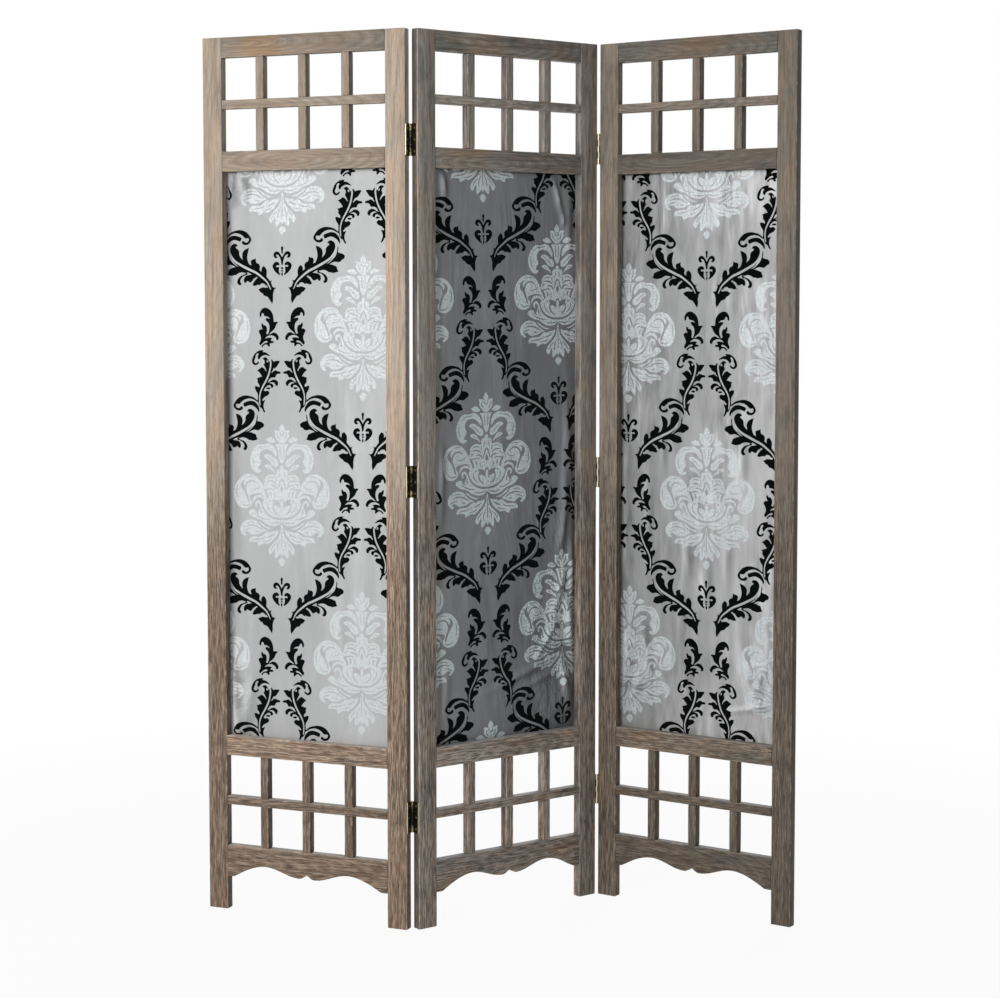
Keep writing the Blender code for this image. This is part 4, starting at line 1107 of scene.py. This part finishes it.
def pale_vein(panel):
    finish = Finish(f"{panel.side}_vein")
    thread = threads(finish, finish.axes(panel), detail=1)
    # The cloth's painted light and shade scales the veins' tones
    stops = [(place, multiplied(tone, CLOTH_PAINTED_LIGHT[panel.side])) for place, tone in VEIN_TONES]
    finish.set("Base Color", finish.ramp(thread, stops))
    return finish.material


def silver_glitter(panel):
    """Fine flakes and single sparks, with the painted sheen of the cloth's folds below them."""
    side = panel.side
    finish = Finish(f"{side}_glitter", Specular_IOR_Level=0.6)
    across, depth, height = finish.axes(panel)
    flakes = finish.grain(across * 260, depth, height * 260, detail=3, roughness=0.8)
    sparks = finish.grain(across * 1000, depth, height * 1000, detail=1)
    shade = flakes * 0.75 + sparks * 0.25
    # Painted sheen of the folds and painted light and shade from corner to corner, on the glitter too
    glow = (painted_sheen(finish, side, across, height) - 0.5) * 0.26 + corner_to_corner(
        across, height, GLITTER_PAINTED_LIGHT[side])
    # Each cloth's glitter levels carry painted light and shade
    finish.set("Base Color", finish.ramp(shade + glow, [
        (place, [min(level * share, 1.0) for share in GLITTER_HUE[side]])
        for place, level in zip(GLITTER_PLACES, GLITTER_LEVELS_AND_LIGHT[side])]))
    finish.set("Metallic", sparks.band(0.54, 0.68) * 0.3)
    finish.set("Roughness", flakes.band(0.7, 0.35) * 0.35 + 0.25)
    finish.bump(creases(finish, side, across, height) + shade * (0.25 * MM), 1.0)
    return finish.material


def plain_reverse(panel):
    """The woven back of the cloth, with neither flock nor glitter."""
    finish = Finish(f"{panel.side}_reverse", roughness=0.8, Specular_IOR_Level=0.3)
    across, depth, height = finish.axes(panel)
    cloud = finish.grain(across * 8, depth, height * 4, detail=2)
    weft = (height * WEAVE_WAVES).maths("SINE") * 0.5 + (across * WEAVE_WAVES).maths("SINE") * 0.5
    thread = finish.grain(across * 1500, depth, height * 1500, detail=2)
    finish.set("Base Color", finish.ramp(cloud * 0.5 + thread * 0.4 + weft * 0.05, REVERSE_TONES))
    finish.bump(weft * 0.5 + thread, 0.08 * MM, 0.4)
    return finish.material


# In the order of the material slots
CLOTH_FINISHES = (satin_ground, black_flock, pale_vein, silver_glitter, plain_reverse)


def dress_cloth(panel, tile):
    piece = cloth_piece(panel, tile)
    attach(piece, panel.body)
    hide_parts(f"{panel.side}_cloth")


# Staples

STAPLE_CROWN = 0.010
STAPLE_WIRE = 0.0012
STAPLE_RISE = 0.0005
STAPLE_SHOULDER = 0.00028
STAPLE_SINK = 0.1 * MM
STAPLE_SPACING = 0.040
STAPLE_INSET = 0.006
STAPLE_WANDER = 1.2 * MM
STAPLE_TWIST = 0.35
STEEL_TONES = ((0.3, (0.42, 0.42, 0.43)), (0.7, (0.62, 0.62, 0.63)))


def staple_model():
    """One staple as driven: a flat crown with bent shoulders. Along X, its open side towards +Y."""
    bpy.ops.mesh.primitive_cube_add(size=1.0)
    model = bpy.context.object
    model.scale = (STAPLE_CROWN, STAPLE_RISE * 2, STAPLE_WIRE)
    bpy.ops.object.transform_apply(location=False, rotation=False, scale=True)
    bpy.ops.object.mode_set(mode="EDIT")
    bpy.ops.mesh.select_all(action="SELECT")
    bpy.ops.mesh.bevel(offset=STAPLE_SHOULDER, segments=2)
    bpy.ops.object.mode_set(mode="OBJECT")
    model.data.shade_smooth()
    return model


def copies_in_one(model, name, places):
    """One piece made of copies of a model, each turned and moved by its own matrix."""
    group = bmesh.new()
    for place in places:
        start = len(group.verts)
        group.from_mesh(model.data)
        group.verts.ensure_lookup_table()
        bmesh.ops.transform(group, matrix=place, verts=group.verts[start:])
    mesh = bpy.data.meshes.new(name)
    group.to_mesh(mesh)
    group.free()
    mesh.set_sharp_from_angle(angle=math.radians(35))
    return added(name, mesh)


def staple_places(panel):
    """Where the staples of one cloth sit: along its four hems, each a little off true."""
    (left, foot), (right, top) = CLOTH_OPENING
    low, high = (left - STAPLE_INSET, foot - STAPLE_INSET), (right + STAPLE_INSET, top + STAPLE_INSET)
    depth = FRAME_THICKNESS + CLOTH_GAP + CLOTH_THICKNESS + HEM_FOLD - STAPLE_SINK
    places = []
    runs = [(low, (high[0], low[1])), ((low[0], high[1]), high),
            (low, (low[0], high[1])), ((high[0], low[1]), high)]
    for number, (start, end) in enumerate(runs):
        length = math.dist(start, end)
        count = round(length / STAPLE_SPACING)
        for index in range(count):
            share = (index + 0.5) / count
            wander = noise.noise(Vector((index * 3.1, number * 7.7, len(panel.side))))
            across, level = (
                first + (last - first) * share + STAPLE_WANDER * wander for first, last in zip(start, end))
            lie = math.radians(90 if number > 1 else 0) + wander * STAPLE_TWIST
            spot = Matrix.Translation((across, depth, level))
            places.append(panel.matrix @ spot @ Matrix.Rotation(lie, 4, "Y"))
    return places


def bright_metal(name, panel, cycles, tones):
    """Bare metal, duller in places."""
    finish = Finish(name, metallic=1.0)
    dull = finish.speckle(finish.axes(panel), cycles, detail=2)
    finish.set("Base Color", finish.ramp(dull, tones))
    finish.set("Roughness", dull * 0.3 + 0.2)
    return finish.material


def dress_staples():
    model = staple_model()
    for panel in PANELS.values():
        piece = copies_in_one(model, f"{panel.side}_staples", staple_places(panel))
        piece.data.materials.append(bright_metal(f"{panel.side}_staple_metal", panel, 300, STEEL_TONES))
        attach(piece, panel.body)
    bpy.data.objects.remove(model)


# Screws

SCREW_SIDES = 16
SCREW_HEAD = 0.0031
SCREW_SHANK = 0.0019
SCREW_SINK = 0.0010
SCREW_RISE = 0.00015
SCREW_RIM = 0.00045
CROSS_INSET = 0.0008
CROSS_WAIST = (0.36, 0.36, 1.0)
CROSS_DEPTH = 0.0005
CROSS_TAPER = (0.6, 0.6, 1.0)
SCREW_LEVELS = (-0.022, 0.0, 0.022)
BRASS_TONES = ((0.3, (0.34, 0.29, 0.17)), (0.7, (0.66, 0.60, 0.42)))

# The flat part of a hinge leaf
LEAF_THICKNESS = 0.001
LEAF_DEPTH = 0.0151


def screw_model():
    """The head of a countersunk cross-head screw, its axis along X and its face towards +X at 0."""
    bpy.ops.mesh.primitive_cone_add(vertices=SCREW_SIDES, radius1=SCREW_SHANK, radius2=SCREW_HEAD,
                                    depth=SCREW_SINK, location=(0, 0, -SCREW_SINK / 2))
    model = bpy.context.object
    bpy.ops.object.mode_set(mode="EDIT")
    shape = bmesh.from_edit_mesh(model.data)
    bpy.ops.mesh.select_mode(type="FACE")
    bpy.ops.mesh.select_all(action="DESELECT")
    max(shape.faces, key=lambda face: face.calc_center_median().z).select = True
    bmesh.update_edit_mesh(model.data)
    bpy.ops.mesh.inset(thickness=SCREW_RIM)
    bpy.ops.transform.translate(value=(0, 0, SCREW_RISE))
    bpy.ops.mesh.inset(thickness=CROSS_INSET)
    bpy.ops.mesh.select_mode(type="VERT")
    shape = bmesh.from_edit_mesh(model.data)
    for vert in shape.verts:
        if vert.select and min(abs(vert.co.x), abs(vert.co.y)) < TOUCHING:
            vert.select = False
    shape.select_flush_mode()
    bmesh.update_edit_mesh(model.data)
    bpy.ops.transform.resize(value=CROSS_WAIST, center_override=(0, 0, 0))
    ring = max((face for face in bmesh.from_edit_mesh(model.data).faces if len(face.verts) == SCREW_SIDES),
               key=lambda face: face.calc_center_median().z)
    bpy.ops.mesh.select_all(action="DESELECT")
    bpy.ops.mesh.select_mode(type="FACE")
    ring.select = True
    bmesh.update_edit_mesh(model.data)
    bpy.ops.mesh.extrude_region_move(TRANSFORM_OT_translate={"value": (0, 0, -CROSS_DEPTH)})
    bpy.ops.transform.resize(value=CROSS_TAPER, center_override=(0, 0, 0))
    bpy.ops.object.mode_set(mode="OBJECT")
    model.rotation_euler = (0, math.radians(90), 0)
    model.location = (-SCREW_SINK / 2, 0, 0)
    bpy.ops.object.transform_apply(location=True, rotation=True, scale=True)
    return model


def hinge_leaves():
    """Each leaf's node, the joint that it belongs to and the panel that carries it."""
    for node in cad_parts:
        if "hinge" in node:
            joint = node.split("_")[0]
            yield node, joint, PANELS[joint if "pin_leaf" in node else "middle"]


def screw_places(node, joint, panel):
    """Where the three screws of a hinge leaf sit, in the leaf's countersunk holes."""
    low, high = panel.box(node)
    right_edge = ("pin_leaf" in node) == (joint == "left")
    across = low[0] + LEAF_THICKNESS if right_edge else high[0] - LEAF_THICKNESS
    depth = low[1] + LEAF_DEPTH / 2 if joint == "left" else high[1] - LEAF_DEPTH / 2
    facing = Matrix.Rotation(0.0 if right_edge else math.pi, 4, "Z")
    places = []
    for number, level in enumerate(SCREW_LEVELS):
        spot = Matrix.Translation((across, depth, (low[2] + high[2]) / 2 + level))
        twist = Matrix.Rotation(0.7 * number + 1.3 * len(node), 4, "X")
        places.append(panel.matrix @ spot @ facing @ twist)
    return places


def dress_screws():
    model = screw_model()
    for node, joint, panel in hinge_leaves():
        piece = copies_in_one(model, f"{node}_screws", screw_places(node, joint, panel))
        piece.data.materials.append(bright_metal(f"{node}_screw_metal", panel, 900, BRASS_TONES))
        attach(piece, panel.body)
    bpy.data.objects.remove(model)


# Hinges

TARNISH_TONES = ((0.35, (0.012, 0.011, 0.009)), (0.7, (0.050, 0.042, 0.026)))
GOLD_TONES = ((0.3, (0.20, 0.155, 0.065)), (0.65, (0.60, 0.50, 0.26)))
RUBBED_TONE = (0.70, 0.62, 0.46)

# From where to where a leaf's flat part ends, and its front edge ends
FLAT_END = (0.0152, 0.0158)
FRONT_END = (0.0006, 0.0016)


def hinge_metal(node, joint, panel):
    """Dark antiqued brass: worn to gold on the knuckles, in specks on the flat part, and rubbed in front."""
    finish = Finish(f"{node}_metal", metallic=0.85)
    axes = _, depth, height = finish.axes(panel)
    low, high = panel.box(node)
    near, far = FLAT_END
    flat = (depth.band(low[1] + far, low[1] + near) if joint == "left"
            else depth.band(high[1] - far, high[1] - near))
    tarnish = finish.speckle(axes, 260, detail=3)
    specks = finish.speckle(axes, 700, detail=2)
    dark, gold = finish.ramp(tarnish, TARNISH_TONES), finish.ramp(tarnish, GOLD_TONES)
    from_middle = (height - (low[2] + high[2]) / 2).maths("ABSOLUTE")
    worn = from_middle.band(0.012, 0.024) * tarnish.band(0.36, 0.56) * 0.85 + tarnish.band(0.50, 0.68) * 0.30
    bright = finish.mix(flat, worn, specks.band(0.60, 0.72) * 0.7)
    near, far = FRONT_END
    front = depth.band(low[1] + far, low[1] + near)
    finish.set("Base Color", finish.mix(front * 0.9, finish.mix(bright, dark, gold), RUBBED_TONE))
    finish.set("Roughness", 0.3 + tarnish * 0.25)
    finish.bump(tarnish, 0.1 * MM, 0.4)
    return finish.material


def dress_hinges():
    for node, joint, panel in hinge_leaves():
        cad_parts[node].material_slots[0].material = hinge_metal(node, joint, panel)


# Floor, light and camera

WHITE = (1.0, 1.0, 1.0)
FLOOR_TONE = (0.86, 0.86, 0.86)
FLOOR_SIZE = 24.0
FLOOR_DROP = 0.0005

# From where to where the floor's last shadow fades into white, from the screen's middle
FLOOR_FADE = (0.9, 2.4)

# The surround lights the screen faintly, and is white only where it is looked at
AMBIENT = 0.10

# The lamps: place, size and power
LAMPS = {
    "key": ((-2.9, -2.2, 1.75), 1.7, 78.0),
    "fill": ((-1.4, -4.0, 2.0), 0.8, 34.0),
    "back": ((1.2, 3.6, 2.2), 2.6, 82.0),
}
LAMP_AIM = Vector((0.0, 0.0, 0.85))

CAMERA_PLACE = (0.0048, -4.1896, 1.1838)
CAMERA_TILT = 86.221
CAMERA_LENS_MM = 77.97
CAMERA_SENSOR_MM = 36.0
CAMERA_SHIFT = -0.049


def pale_floor():
    """A floor that takes the screen's shadow and turns white where it is looked at, fully so further away."""
    bpy.ops.mesh.primitive_plane_add(size=FLOOR_SIZE, location=(0, 0, -FLOOR_DROP))
    floor = bpy.context.object
    floor.name = "floor"
    finish = Finish("pale_floor", roughness=0.9)
    finish.set("Base Color", FLOOR_TONE)
    spot = finish.make("ShaderNodeTexCoord", output=3)
    away = finish.make("ShaderNodeVectorMath", {"operation": "LENGTH"}, {0: spot}, output=1)
    share = finish.seen_directly() * (away.band(*FLOOR_FADE) * 0.07 + 0.93)
    glow = finish.make("ShaderNodeEmission", inputs={"Color": WHITE, "Strength": 1.0})
    finish.end_in("Material Output", share, Value(finish, finish.shader.outputs[0]), glow)
    floor.data.materials.append(finish.material)


def studio_world():
    world = bpy.data.worlds.new("studio")
    bpy.context.scene.world = world
    world.use_nodes = True
    nodes = Nodes(world.node_tree)
    surround = world.node_tree.nodes["Background"]
    nodes.feed(surround.inputs["Color"], WHITE)
    nodes.feed(surround.inputs["Strength"], AMBIENT)
    white = nodes.make("ShaderNodeBackground", inputs={"Color": WHITE, "Strength": 1.0})
    nodes.end_in("World Output", nodes.seen_directly(), Value(nodes, surround.outputs[0]), white)


def studio_lamps():
    for name, (place, size, power) in LAMPS.items():
        lamp = bpy.data.lights.new(name, "AREA")
        lamp.size, lamp.energy = size, power
        holder = added(name, lamp)
        holder.location = place
        holder.rotation_euler = (LAMP_AIM - Vector(place)).to_track_quat("-Z", "Y").to_euler()


def photo_camera():
    camera = bpy.data.cameras.new("camera")
    camera.sensor_width, camera.lens, camera.shift_y = CAMERA_SENSOR_MM, CAMERA_LENS_MM, CAMERA_SHIFT
    holder = added("camera", camera)
    holder.location = CAMERA_PLACE
    holder.rotation_euler = (math.radians(CAMERA_TILT), 0, 0)
    bpy.context.scene.camera = holder


photo_camera()
WORN_MEMBERS = worn_members()
DAMASK_TILE = pattern_tile()
for each in PANELS.values():
    dress_wood(each, WORN_MEMBERS)
    dress_cloth(each, DAMASK_TILE)
dress_staples()
dress_screws()
dress_hinges()
pale_floor()
studio_world()
studio_lamps()
bpy.context.scene.view_settings.view_transform = "Standard"
